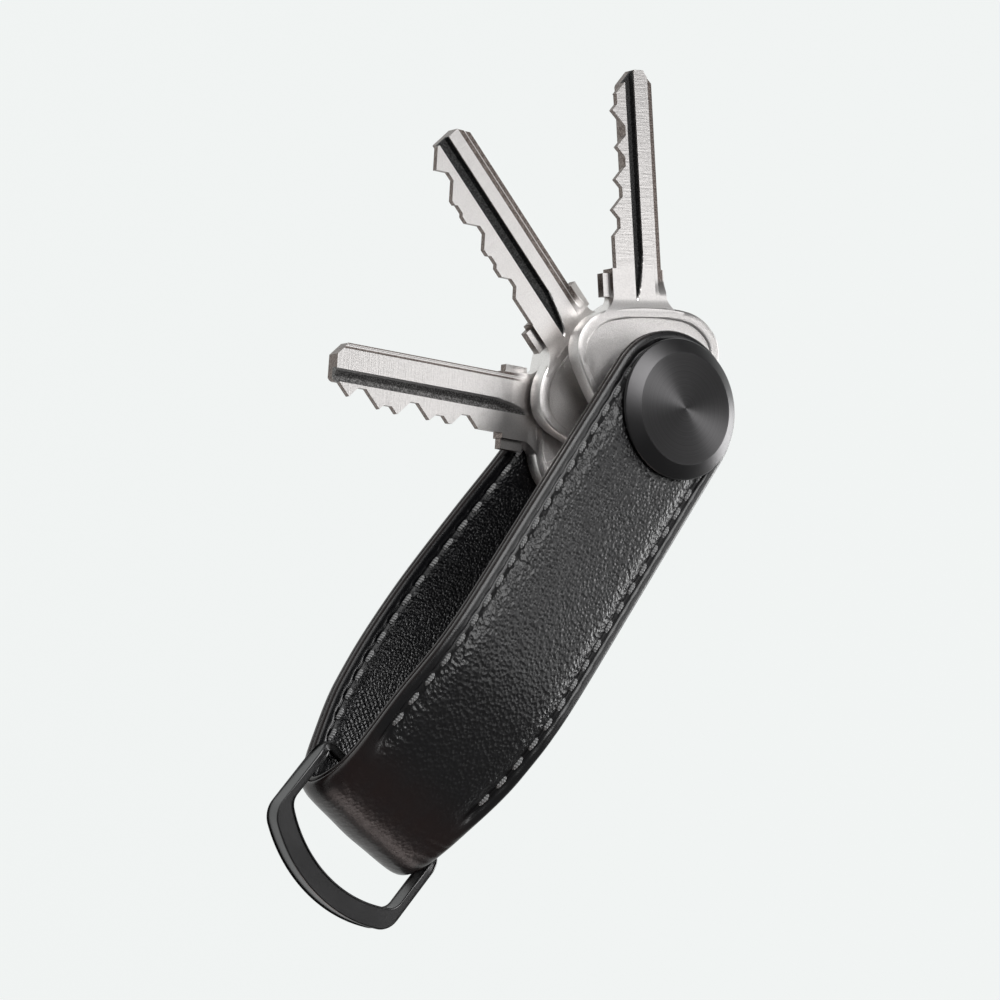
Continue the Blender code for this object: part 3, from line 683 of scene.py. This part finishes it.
def strap_layer(name, sheet, rays, visible, underside, paint):
    """A closed skin: its visible face and its underside on the same rays, joined round the
    outline by the rounded edge and at each post hole by a wall."""
    flat_a, d_a, n_a = visible
    flat_b, d_b, n_b = underside
    loops = len(flat_a)
    top = sheet.bend(flat_a[..., 0], flat_a[..., 1], n_a)
    bottom = sheet.bend(flat_b[..., 0], flat_b[..., 1], n_b)
    columns_a, columns_b = top.shape[1], bottom.shape[1]
    start_b = loops * columns_a
    faces = [grid_faces(loops, columns_a, wrap_rows=True),
             grid_faces(loops, columns_b, wrap_rows=True, start=start_b)]
    this = np.arange(loops)
    after = (this + 1) % loops
    faces.append(np.stack([this * columns_a, after * columns_a, start_b + after * columns_b,
                           start_b + this * columns_b], 1))
    holed = np.abs(rays[1][:, 0]) > 1e-9
    holed = holed | np.isclose(rays[1][:, 1], sheet.round - sheet.hole)
    holed = holed | np.isclose(rays[1][:, 1], sheet.length - sheet.round + sheet.hole)
    wall = holed | holed[after]
    end_a, end_b = columns_a - 1, columns_b - 1
    faces.append(np.stack([this * columns_a + end_a, after * columns_a + end_a,
                           start_b + after * columns_b + end_b, start_b + this * columns_b + end_b], 1)[wall])
    points = np.vstack([top.reshape(-1, 3), bottom.reshape(-1, 3)])
    flat = np.vstack([np.concatenate([flat_a, d_a[..., None]], 2).reshape(-1, 3),
                      np.concatenate([flat_b, d_b[..., None]], 2).reshape(-1, 3)])
    return add_piece(name, points, np.vstack(faces), paint, flat, sharp=60)


def stitch_places(sheet, settings, side):
    """Middles of the stitches along one seam: on the front half, then on the rear half."""
    pitch, seam = settings.stitch_pitch / MM, settings.seam / MM
    front = np.arange(sheet.round + 1.0, sheet.at_front(-57.6), pitch)
    rear = np.arange(sheet.at_rear(-60.6), sheet.length - sheet.round, pitch)
    s = np.r_[front, rear]
    return side * (sheet.half(s) - seam), s


def stitches(name, sheet, settings, paint, height_at, sign):
    """Every stitch is an ellipsoid with a twist of two strands: across w sin a (1 - u^2)^0.4,
    up h cos a likewise, along l u, slanted to the seam, and bent with the strap."""
    around = np.arange(12) * 2 * pi / 12
    along = np.linspace(-1, 1, 13)
    swell = np.maximum(1 - along ** 2, 0) ** 0.4
    x0, s0 = (np.concatenate(a) for a in zip(*(stitch_places(sheet, settings, side) for side in (-1, 1))))
    jitter = np.sin(s0 * 12.9898 + x0) * 0.5
    half_length = settings.stitch_length / MM / 2 * (1 + 0.08 * jitter)
    half_width = settings.stitch_width / MM / 2
    a, u = np.meshgrid(around, along, indexing="ij")
    w = np.meshgrid(around, swell, indexing="ij")[1]
    lobe = 1 + 0.12 * np.cos(2 * a + 5 * u)
    across = half_width * np.sin(a) * w * lobe
    up = half_width * 0.9 * np.cos(a) * w * lobe
    ds = half_length[:, None, None] * u
    dx = across[None] + ds * tan(radians(STITCH_SLANT)) * (1 + 0.15 * jitter[:, None, None])
    x = x0[:, None, None] + dx
    s = s0[:, None, None] + ds
    from_edge = sheet.half(s) - np.abs(x0)[:, None, None]
    sag = 0.10 * (1 - u ** 2)[None]
    n = sign * (np.abs(height_at(from_edge)) + 0.02 + sag) + up[None]
    points = sheet.bend(x.ravel(), s.ravel(), n.ravel())
    count, block = len(s0), a.size
    one = grid_faces(len(around), len(along), wrap_rows=True)
    faces = (one[None] + (np.arange(count) * block)[:, None, None]).reshape(-1, 4)
    flat = np.stack([np.broadcast_to(a, x.shape), ds, x * 0], -1)
    return add_piece(name, points, faces, paint, flat.reshape(-1, 3), sharp=80)


class OBJECT_OT_organiser_strap(bpy.types.Operator):
    """Sews the outer leather to the lining round the folded strap"""
    bl_idname = "object.organiser_strap"
    bl_label = "Sew the strap"

    def execute(self, context):
        settings = context.scene.organiser_strap
        sheet = StrapSheet(settings)
        rays = sheet.rays(settings.step / MM)
        fold = (sheet.at_front(-60.0), sheet.at_rear(-61.0))

        flat, d, n = laid_section(sheet, rays, SEWN_TOP, FOLD_TOP, 14)
        n = n + settings.crown / MM * ramp(d, 4.6, 9.5)
        from_post = np.minimum(np.hypot(flat[..., 0], flat[..., 1] - sheet.round),
                               np.hypot(flat[..., 0], flat[..., 1] - sheet.length + sheet.round))
        press = ramp(from_post, 10.6, 9.2)
        n = n - press * np.maximum(n - settings.pressed / MM, 0)
        stitch_phase = np.cos((flat[..., 1] - sheet.round - 1.0) * 2 * pi / (settings.stitch_pitch / MM))
        seam_band = ramp(d, 0.7, 1.3) * ramp(d, 3.2, 2.0) * (1 - sheet.unsewn(flat[..., 1]))
        n = n - 0.045 * seam_band * stitch_phase
        pinch = np.zeros_like(n)
        for place, width, depth in PINCHES:
            pinch += depth * np.exp(-((flat[..., 1] - fold[0] - place - 0.25 * d) / width) ** 2)
        n = n - pinch * ramp(d, 0.2, 0.8) * ramp(d, 4.5, 1.5)
        top = (flat, d, n)
        under = laid_section(sheet, rays, OUTER_UNDERSIDE, OUTER_UNDERSIDE, 2)
        paint = leather_paint("pebbled_leather", tuple(settings.leather), tuple(settings.fold_sheen), 0.42, *fold,
                              shine=0.62)
        outer = strap_layer("outer_leather_skin", sheet, rays, top, under, paint)
        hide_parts("outer_leather")

        flat, d, n = laid_section(sheet, rays, SEWN_LINING, SEWN_LINING, 8)
        seam_band = ramp(d, 0.7, 1.3) * ramp(d, 3.2, 2.0)
        stitch_phase = np.cos((flat[..., 1] - sheet.round - 1.0) * 2 * pi / (settings.stitch_pitch / MM))
        n = n + 0.05 * seam_band * stitch_phase
        face = (flat, d, n)
        under = laid_section(sheet, rays, LINING_UNDERSIDE, LINING_UNDERSIDE, 2)
        paint = leather_paint("lining_leather_grain", tuple(settings.lining), tuple(settings.lining),
                              0.30, *fold, shine=0.32, ribs=True)
        lining = strap_layer("lining_skin", sheet, rays, face, under, paint)
        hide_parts("lining_leather")

        thread = thread_paint(tuple(settings.thread))
        top_curve, low_curve = smooth_curve(SEWN_TOP, 4)[16:], smooth_curve(SEWN_LINING, 4)[16:]
        for name, curve, sign in (("outer_stitching", top_curve, 1), ("lining_stitching", low_curve, -1)):
            def height_at(d, curve=curve):
                return np.interp(d, curve[:, 0], curve[:, 1])
            sewn = stitches(name, sheet, settings, thread, height_at, sign)
        return {"FINISHED"}


# ---------------------------------------------------------------- caps, lock and post

def satin_rim(cap, face_radius, satin):
    """Gives a cap's faces outside its spun face the satin finish."""
    mesh = cap.data
    mesh.materials.append(satin)
    centres = np.empty(len(mesh.polygons) * 3)
    mesh.polygons.foreach_get("center", centres)
    centres = centres.reshape(-1, 3)
    outside = np.hypot(centres[:, 0], centres[:, 1]) > (face_radius - 0.02) * MM
    mesh.polygons.foreach_set("material_index", outside.astype(np.int32))


class OBJECT_OT_organiser_caps(bpy.types.Operator):
    """Turns the two caps, the lock screw, its washer and the spacers"""
    bl_idname = "object.organiser_caps"
    bl_label = "Turn the caps and post"

    def execute(self, context):
        settings = context.scene.organiser_caps
        face, steps = settings.face_radius / MM, settings.steps
        spun = spun_paint("spun_gunmetal", tuple(settings.metal), 0.50, 0.93, 0.16, 0.004)
        satin = satin_paint("satin_gunmetal", tuple(settings.metal), 0.36, 1.0, 0.12, 0.004, 0.06)
        low, high = (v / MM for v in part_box("front_cap"))
        radius, top, bottom = high.x, high.z, low.z
        bevel_z = top - 1.0
        socket, roof = settings.socket_radius / MM, top - settings.socket_depth / MM
        outside = softened([(0, top), (face, top), (radius - 0.12, bevel_z + 0.02), (radius, bevel_z - 0.12),
                            (radius, bottom), (socket, bottom), (socket, roof), (0, roof)], 0.10, closed=False)
        face_rings = np.stack([np.linspace(0.02, face - 0.2, 24), np.full(24, top)], 1)
        profile = np.vstack([outside[:1], face_rings, outside[1:]])
        cap = turned("front_cap_spun", profile, steps, spun)
        satin_rim(cap, face, satin)
        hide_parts("front_cap")

        low, high = (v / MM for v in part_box("rear_cap"))
        radius, top, bottom = high.x, high.z, low.z
        bore, hole = settings.counterbore / MM, context.scene.organiser_strap.hole / MM
        floor = bottom + settings.counterbore_depth / MM
        profile = softened([(hole, top), (radius, top), (radius, bottom + 1.1), (face + 0.8, bottom),
                            (bore, bottom), (bore, floor), (hole, floor)], 0.10)
        rear = turned("rear_cap_spun", profile, steps, spun)
        satin_rim(rear, face, satin)
        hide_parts("rear_cap")

        steel = spun_paint("turned_steel", (0.5, 0.5, 0.51), 0.28, 0.6, 0.12, 0.008)
        low, high = (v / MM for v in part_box("lock_screw"))
        radius, bottom, tip = high.x, low.z, high.z
        head_top, shank = bottom + SCREW_HEAD, SCREW_SHANK
        profile = softened([(0, tip), (shank, tip), (shank, head_top), (radius, head_top),
                            (radius, bottom + 0.2), (radius - 0.2, bottom), (0, bottom)], 0.08, closed=False)
        screw = turned("lock_screw_turned", profile, 96, steel, body="lock_screw")
        half, deep = settings.coin_slot / MM / 2, settings.coin_slot_depth / MM
        slot = box_tool("slot_tool", (-radius - 1, -half, bottom - 1), (radius + 1, half, bottom + deep))
        boolean(screw, "DIFFERENCE", slot)
        screw.data.set_sharp_from_angle(angle=radians(30))
        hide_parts("lock_screw")

        low, high = (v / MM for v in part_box("spring_washer"))
        profile = softened([(WASHER_HOLE, high.z), (high.x, high.z), (high.x, low.z),
                            (WASHER_HOLE, low.z)], 0.05)
        washer = turned("spring_washer_turned", profile, 96, steel, body="spring_washer")
        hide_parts("spring_washer")

        moulded = satin_paint("moulded_black", (0.028, 0.028, 0.029), 0.36, 0.0, 0.3, 0.01)
        for node in ("front_spacer_outer", "front_spacer_inner", "middle_spacer", "rear_friction_washer"):
            low, high = (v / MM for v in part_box(node))
            profile = softened([(SPACER_HOLE, high.z), (high.x, high.z), (high.x, low.z),
                                (SPACER_HOLE, low.z)], 0.14)
            spacer = turned(f"{node}_moulded", profile, 128, moulded)
            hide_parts(node)
        return {"FINISHED"}


class OBJECT_OT_organiser_hidden(bpy.types.Operator):
    """Gives the carried-over inner pieces their finishes"""
    bl_idname = "object.organiser_hidden"
    bl_label = "Finish the inner pieces"

    def execute(self, context):
        finishes = {
            "post_barrel": satin_paint("barrel_steel", (0.5, 0.5, 0.51), 0.3, 1.0),
            "padding": satin_paint("foam_board", (0.12, 0.12, 0.12), 0.9, 0.0, 0.4, 0.05),
            "front_stiffener": satin_paint("sheet_steel", (0.45, 0.45, 0.46), 0.35, 1.0),
        }
        finishes["rear_stiffener"] = finishes["front_stiffener"]
        for node, material in finishes.items():
            mesh = frame["nodes"][node].data
            mesh.materials.clear()
            mesh.materials.append(material)
        return {"FINISHED"}


# ---------------------------------------------------------------- keys

def bow_loop(inset, count):
    """The bow's outline drawn in by scaling it about its middle, as a closed smooth curve."""
    middle = (BOW_HALF[0][0] + BOW_HALF[-1][0]) / 2
    half_length = BOW_HALF[-1][0] - middle
    half_width = max(v for _, v in BOW_HALF)
    lower = [(middle + (u - middle) * (1 - inset / half_length), -v * (1 - inset / half_width))
             for u, v in BOW_HALF]
    return smooth_curve(lower + [(u, -v) for u, v in reversed(lower[1:-1])], count, closed=True)


def key_bow(name, settings, middle, direction, paint, body):
    """The bow: rings drawn in from its outline to the post's hole. Heights give the rounded
    edge, the raised rim and the recessed field, the same on both faces."""
    half, rim = settings.bow_half / MM, settings.rim / MM
    floor, hole = half - settings.recess / MM, settings.hole / MM
    section = ((0.0, half - 0.32), (0.08, half - 0.12), (0.28, half), (rim - 0.18, half),
               (rim - 0.02, half - 0.08), (rim + 0.12, floor + 0.05), (rim + 0.30, floor))
    loops = [np.c_[bow_loop(inset, 16), np.full(16 * 14, z)] for inset, z in section]
    last = loops[-1][:, :2]
    wall = last / np.linalg.norm(last, axis=1)[:, None] * hole
    for t in np.linspace(0.2, 1, 5):
        loops.append(np.c_[last * (1 - t) + wall * t, np.full(len(last), floor)])
    loops[-1][:, 2] = floor - 0.1
    top = np.stack(loops, 1)
    bottom = top[:, ::-1] * np.array([1, 1, -1.0])
    grid = np.concatenate([top, bottom], 1)
    faces = grid_faces(grid.shape[0], grid.shape[1], wrap_rows=True, wrap_columns=True)
    points = turn_about_post(grid.reshape(-1, 3), direction) + np.array([0, 0, middle])
    return add_piece(name, points, faces, paint, sharp=35, body=body)


def cut_row(cuts):
    """Corners of the cut edge, (along, depth): even flats joined by 45-degree flanks, then the tip's slope."""
    land, *depths, tip_depth = cuts
    row = [(CUT_FIRST - CUT_FLAT / 2 - (depths[0] - land), land)]
    for number, depth in enumerate(depths):
        start = CUT_FIRST + number * CUT_PITCH - CUT_FLAT / 2
        if number:
            last, last_depth = row[-1]
            crest = max((last_depth + depth - (start - last)) / 2, land)
            rise, fall = last + max(last_depth - crest, 0), start - max(depth - crest, 0)
            row.append((rise, crest))
            if fall - rise > 0.01:
                row.append((fall, crest))
        row += [(start, depth), (start + CUT_FLAT, depth)]
    end, depth = row[-1]
    crest_at = (depth + end - tip_depth + KEY_TIP) / 2
    if crest_at > end + 0.05:
        row.append((crest_at, depth - (crest_at - end)))
    return row + [(KEY_TIP, tip_depth)]


def key_blade(name, settings, middle, direction, cuts, groove, ledges, paint):
    """The blade as a grid of stations along by samples across. Its top is the flat less the
    groove, which the cutter leaves along an arc, so its spine side closes on its cut side
    towards the bow; the spine steps down in ledges; the back is milled thin under the cuts."""
    half, tip = settings.blade_half / MM, settings.tip / MM
    bow_half = settings.bow_half / MM
    start, shoulder = NECK_FROM, settings.shoulder / MM
    spine, uncut = -settings.spine / MM, settings.edge / MM
    cuts = np.array([(shoulder, cuts[0]), *cut_row(cuts)])
    cuts[:, 1] = uncut - cuts[:, 1]
    u = np.unique(np.round(np.r_[np.arange(start, tip, 0.3), cuts[:, 0], tip - TIP_BEVEL, shoulder,
                                 shoulder - 0.02, np.linspace(start, start + 2.6, 14), tip], 4))
    high = np.interp(u, cuts[:, 0], cuts[:, 1])
    low = np.full_like(u, spine)
    low = np.where(u > tip - TIP_BEVEL, spine + (u - tip + TIP_BEVEL), low)
    neck = u < shoulder - 0.01
    flare = np.clip((start + NECK_FLARE - u) / NECK_FLARE, 0, 1) ** 2
    high = np.where(neck, uncut + 0.1 + 2.6 * flare, high)
    low = np.where(neck, spine - 0.35 - 2.6 * flare, low)
    closing = np.sqrt(np.clip((u - GROOVE_FROM) / GROOVE_CLOSING, 0, 1))[:, None]
    edge_low = groove[1] - (groove[1] - groove[0]) * closing
    marks = [groove[1], groove[1] - 0.1, THIN_FROM, THIN_FROM + THIN_STEP, 0.0]
    for ledge, _ in ledges:
        marks += [ledge, ledge + 0.08]
    v = np.unique(np.round(np.r_[np.linspace(-6.2, 8.2, 120), marks], 4))
    across = np.clip(v[None, :], low[:, None], high[:, None])
    # The nearest sample is moved onto the groove's curving edge, which keeps that edge crisp.
    nearest = np.abs(v[None, :] - edge_low).argmin(1)
    rows_index = np.arange(len(u))
    inner = (edge_low[:, 0] < high - 0.1) & (edge_low[:, 0] > low + 0.1)
    across[rows_index[inner], nearest[inner]] = edge_low[inner, 0]
    along = np.broadcast_to(u[:, None], across.shape)
    steep = (groove[1] - across) / 0.10
    sloping = (across - edge_low) / groove[2]
    depth = groove[3] * np.clip((u - GROOVE_FROM) / 1.2, 0, 1)[:, None]
    ditch = depth * np.clip(np.minimum(steep, sloping), 0, 1)
    top = half - ditch
    for ledge, drop in ledges:
        top = top - drop * np.clip((ledge + 0.08 - across) / 0.08, 0, 1) * ramp(along, 15.0, 17.0)
    top = top + (bow_half + 0.02 - half) * ramp(along, 14.6, 12.6)
    back = -half + THINNED_BY * np.clip((across - THIN_FROM) / THIN_STEP, 0, 1) * (along > shoulder)
    upper = np.stack([along, across, top], 2)
    under = np.stack([along, across, back], 2)
    rows, columns = across.shape
    size = rows * columns
    faces = [grid_faces(rows, columns), grid_faces(rows, columns, start=size)[:, ::-1]]
    i = np.arange(rows - 1)
    for column in (0, columns - 1):
        a = i * columns + column
        faces.append(np.stack([a, a + columns, a + columns + size, a + size], 1))
    j = np.arange(columns - 1)
    for row in (0, rows - 1):
        a = row * columns + j
        faces.append(np.stack([a, a + 1, a + 1 + size, a + size], 1))
    points = np.vstack([upper.reshape(-1, 3), under.reshape(-1, 3)])
    points = turn_about_post(points, direction) + np.array([0, 0, middle])
    return add_piece(name, points, np.vstack(faces), paint, sharp=30, body=None)


class OBJECT_OT_organiser_keys(bpy.types.Operator):
    """Cuts the three keys: bow, neck, shoulder stop, grooved blade and its row of cuts"""
    bl_idname = "object.organiser_keys"
    bl_label = "Cut the keys"

    def execute(self, context):
        settings = context.scene.organiser_keys
        half, shoulder = settings.blade_half / MM, settings.shoulder / MM
        for node, direction, cuts in KEYS:
            low, high = (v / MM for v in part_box(node))
            middle = (low.z + high.z) / 2
            groove, groove_light, ledges, shade_bands, lug_places = KEY_FACES[node]
            paint = key_paint(f"{node}_nickel_silver", tuple(settings.metal), direction, middle + half, groove,
                              groove_light, shade_bands)
            key = key_bow(f"{node}_cut", settings, middle, direction, paint, node)
            blade = key_blade(f"{node}_blade", settings, middle, direction, cuts, groove, ledges, paint)
            lugs = []
            for number, (near, far, back) in enumerate(lug_places):
                lugs.append(box_tool(f"{node}_lug_{number}", (shoulder - 3.6, near, middle - half + 0.25),
                                     (shoulder - back, far, middle + half - 0.55), direction))
            boolean(key, "UNION", blade, *lugs)
            bevel = key.modifiers.new("worn edges", "BEVEL")
            bevel.width = 0.05 * MM
            bevel.segments = 1
            bevel.angle_limit = radians(45)
            key.data.set_sharp_from_angle(angle=radians(30))
            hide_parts(node)
        return {"FINISHED"}


# ---------------------------------------------------------------- ring and rivets

def ring_half(settings, side, count):
    """Right half of the ring's outer (+1) or inner (-1) edge: bar's corner, leg, fillet, bow."""
    strip, bow_width = settings.strip / MM, settings.bow_width / MM
    grow = side * strip / 2
    thicker = 0 if side > 0 else bow_width - strip
    half = settings.half_width / MM + grow
    reach, leg = settings.reach / MM, settings.leg / MM
    sagitta = reach - leg
    bow_radius = ((settings.half_width / MM) ** 2 + sagitta ** 2) / (2 * sagitta)
    centre_v = reach - bow_radius
    radius = bow_radius + grow - thicker
    corner = settings.corner / MM + grow
    u = half - corner
    v = centre_v + sqrt((radius - corner) ** 2 - u ** 2)
    touch = np.arctan2(v - centre_v, u)
    small = 1.0 + grow

    def arc(cu, cv, r, a, b, n):
        t = np.linspace(a, b, n)
        return np.stack([cu + r * np.cos(t), cv + r * np.sin(t)], 1)
    bar = np.stack([np.linspace(0, half - small, 12), np.full(12, -grow)], 1)
    foot = arc(half - small, small - grow, small, -pi / 2, 0, 8)
    straight = np.stack([np.full(count, half), np.linspace(small - grow, v, count)], 1)
    fillet = arc(u, v, corner, 0, touch, 14)
    bow = arc(0, centre_v, radius, touch, pi / 2, 40)
    return np.vstack([bar, foot[1:], straight[1:], fillet[1:], bow[1:]])


class OBJECT_OT_organiser_ring(bpy.types.Operator):
    """Bends the D-ring and sets the two rivets"""
    bl_idname = "object.organiser_ring"
    bl_label = "Bend the ring"

    def execute(self, context):
        settings = context.scene.organiser_ring
        outer, inner = (ring_half(settings, side, 20) for side in (1, -1))
        mirror = np.array([-1.0, 1.0])
        outer = np.vstack([outer, outer[-2:0:-1] * mirror])
        inner = np.vstack([inner, inner[-2:0:-1] * mirror])
        half = settings.depth / MM / 2
        wide = np.linalg.norm(outer - inner, axis=1)
        c = settings.chamfer / MM
        section = ((0, -half), (1, -half), (1, half), (0, half))
        corners = []
        for (share, z), (ds, dz) in zip(section, ((1, 1), (-1, 1), (-1, -1), (1, -1))):
            t = np.linspace(0, pi / 2, 4)
            for angle in (t if ds * dz > 0 else t[::-1]):
                corners.append((share, ds * c * (1 - np.sin(angle)), z + dz * c * (1 - np.cos(angle))))
        share, inset, height = (np.array(a) for a in zip(*corners))
        part = share[None] + inset[None] / wide[:, None]
        plan = inner[:, None] + (outer - inner)[:, None] * part[..., None]
        slim = settings.bar_share + (1 - settings.bar_share) * ramp(outer[:, 1], -0.3, 2.2)
        local = np.concatenate([plan, (height[None] * slim[:, None])[..., None]], 2)
        joint = next(j for j in frame["joints"] if j["name"] == "ring_swing")
        pivot, axis = np.array(joint["pos_m"]) / MM, Vector(joint["axis"])
        skew = np.arctan2(axis.y, axis.x)
        turn = Matrix.Rotation(skew, 3, "Z") @ Matrix.Rotation(radians(180 + RING_TILT), 3, "X")
        points = local.reshape(-1, 3) @ np.array(turn).T + pivot
        faces = grid_faces(*part.shape, wrap_rows=True, wrap_columns=True)
        black = satin_paint("black_ring_metal", tuple(settings.metal), 0.33, 1.0, 0.14, 0.010)
        ring = add_piece("d_ring_bent", points, faces, black, sharp=50, body="ring")
        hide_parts("d_ring")

        bright = satin_paint("rivet_bright", (0.8, 0.8, 0.8), 0.16, 1.0, 0.2, 0.004, 0.05)
        for node in ("fold_rivet_left", "fold_rivet_right"):
            low, high = (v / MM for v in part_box(node))
            radius, centre = (high.z - low.z) / 2, (low + high) / 2
            t = np.linspace(pi / 2, -pi / 2, 17)
            flatter = np.where(np.sin(t) > 0, 0.8, 0.3)
            profile = np.stack([radius * np.cos(t), centre.z - 0.1 + radius * np.sin(t) * flatter], 1)
            profile[[0, -1], 0] = 0
            rivet = turned(f"{node}_dome", profile, 40, bright, centre=(centre.x, centre.y))
            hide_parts(node)
        return {"FINISHED"}


# ---------------------------------------------------------------- stage

def softbox(name, place_mm, aim_mm, size_mm, watts, tint):
    data = bpy.data.lights.new(name, "AREA")
    data.shape = "RECTANGLE"
    data.size, data.size_y = size_mm[0] * MM, size_mm[1] * MM
    data.energy = watts
    data.color = tint
    light = bpy.data.objects.new(name, data)
    bpy.context.scene.collection.objects.link(light)
    place, aim = Vector(place_mm) * MM, Vector(aim_mm) * MM
    light.location = place
    light.rotation_euler = (aim - place).to_track_quat("-Z", "Y").to_euler()


class OBJECT_OT_organiser_stage(bpy.types.Operator):
    """Lays the pale floor, hangs the soft lights and sets the camera"""
    bl_idname = "object.organiser_stage"
    bl_label = "Lay the stage"

    def execute(self, context):
        settings = context.scene.organiser_stage
        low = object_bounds()[0]
        side, z = FLOOR_SIDE, low.z - settings.drop
        corners = [(-side, -side, z), (side, -side, z), (side, side, z), (-side, side, z)]
        mesh = bpy.data.meshes.new("pale_floor")
        mesh.from_pydata(corners, [], [(0, 1, 2, 3)])
        floor = bpy.data.objects.new("pale_floor", mesh)
        context.scene.collection.objects.link(floor)
        floor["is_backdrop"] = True
        paint = Paint("pale_floor", 0.9, colour=(0.03, 0.03, 0.03))
        paint.set("Emission Color", (*settings.floor, 1.0))
        paint.set("Emission Strength", FLOOR_GLOW)
        paint.set("Specular IOR Level", 0.0)
        mesh.materials.append(paint.material)

        world = bpy.data.worlds.new("studio")
        world.use_nodes = True
        world.node_tree.nodes["Background"].inputs["Color"].default_value = WORLD_COLOUR
        world.node_tree.nodes["Background"].inputs["Strength"].default_value = WORLD_STRENGTH
        context.scene.world = world
        for light in SOFTBOXES:
            softbox(*light)

        direction = Vector((sin(radians(settings.azimuth)) * cos(radians(settings.elevation)),
                            -cos(radians(settings.azimuth)) * cos(radians(settings.elevation)),
                            sin(radians(settings.elevation))))
        data = bpy.data.cameras.new("camera")
        data.lens, data.sensor_width = settings.lens, SENSOR_WIDTH
        data.clip_start, data.clip_end = 0.01, 20
        camera = bpy.data.objects.new("camera", data)
        context.scene.collection.objects.link(camera)
        camera.rotation_mode = "QUATERNION"
        camera.location = Vector(settings.aim) + direction * settings.distance
        upright = (-direction).to_track_quat("-Z", "Y")
        camera.rotation_quaternion = upright @ Quaternion((0, 0, 1), radians(settings.roll))
        context.scene.camera = camera
        context.scene.view_settings.view_transform = "Standard"
        return {"FINISHED"}


# ---------------------------------------------------------------- panel

OPERATORS = (
    OBJECT_OT_organiser_strap, OBJECT_OT_organiser_caps, OBJECT_OT_organiser_hidden,
    OBJECT_OT_organiser_keys, OBJECT_OT_organiser_ring, OBJECT_OT_organiser_stage,
)


class VIEW3D_PT_organiser(bpy.types.Panel):
    """Lists the organiser's settings and the steps that build it"""
    bl_idname = "VIEW3D_PT_organiser"
    bl_label = "Key Organiser"
    bl_space_type = "VIEW_3D"
    bl_region_type = "UI"
    bl_category = "Key Organiser"

    def draw(self, context):
        layout = self.layout
        for operator in OPERATORS:
            layout.operator(operator.bl_idname)
        for name, group in SETTINGS.items():
            box = layout.box()
            box.label(text=name.replace("organiser_", "").capitalize())
            for setting in group.__annotations__:
                box.prop(getattr(context.scene, name), setting)


def register():
    for group in SETTINGS.values():
        bpy.utils.register_class(group)
    for name, group in SETTINGS.items():
        setattr(bpy.types.Scene, name, PointerProperty(type=group))
    for shown in (*OPERATORS, VIEW3D_PT_organiser):
        bpy.utils.register_class(shown)


def unregister():
    for shown in reversed((*OPERATORS, VIEW3D_PT_organiser)):
        bpy.utils.unregister_class(shown)
    for name in SETTINGS:
        delattr(bpy.types.Scene, name)
    for group in reversed(list(SETTINGS.values())):
        bpy.utils.unregister_class(group)


def main():
    register()
    for operator in OPERATORS:
        group, step = operator.bl_idname.split(".")
        getattr(getattr(bpy.ops, group), step)()


if __name__ == "__main__":
    main()
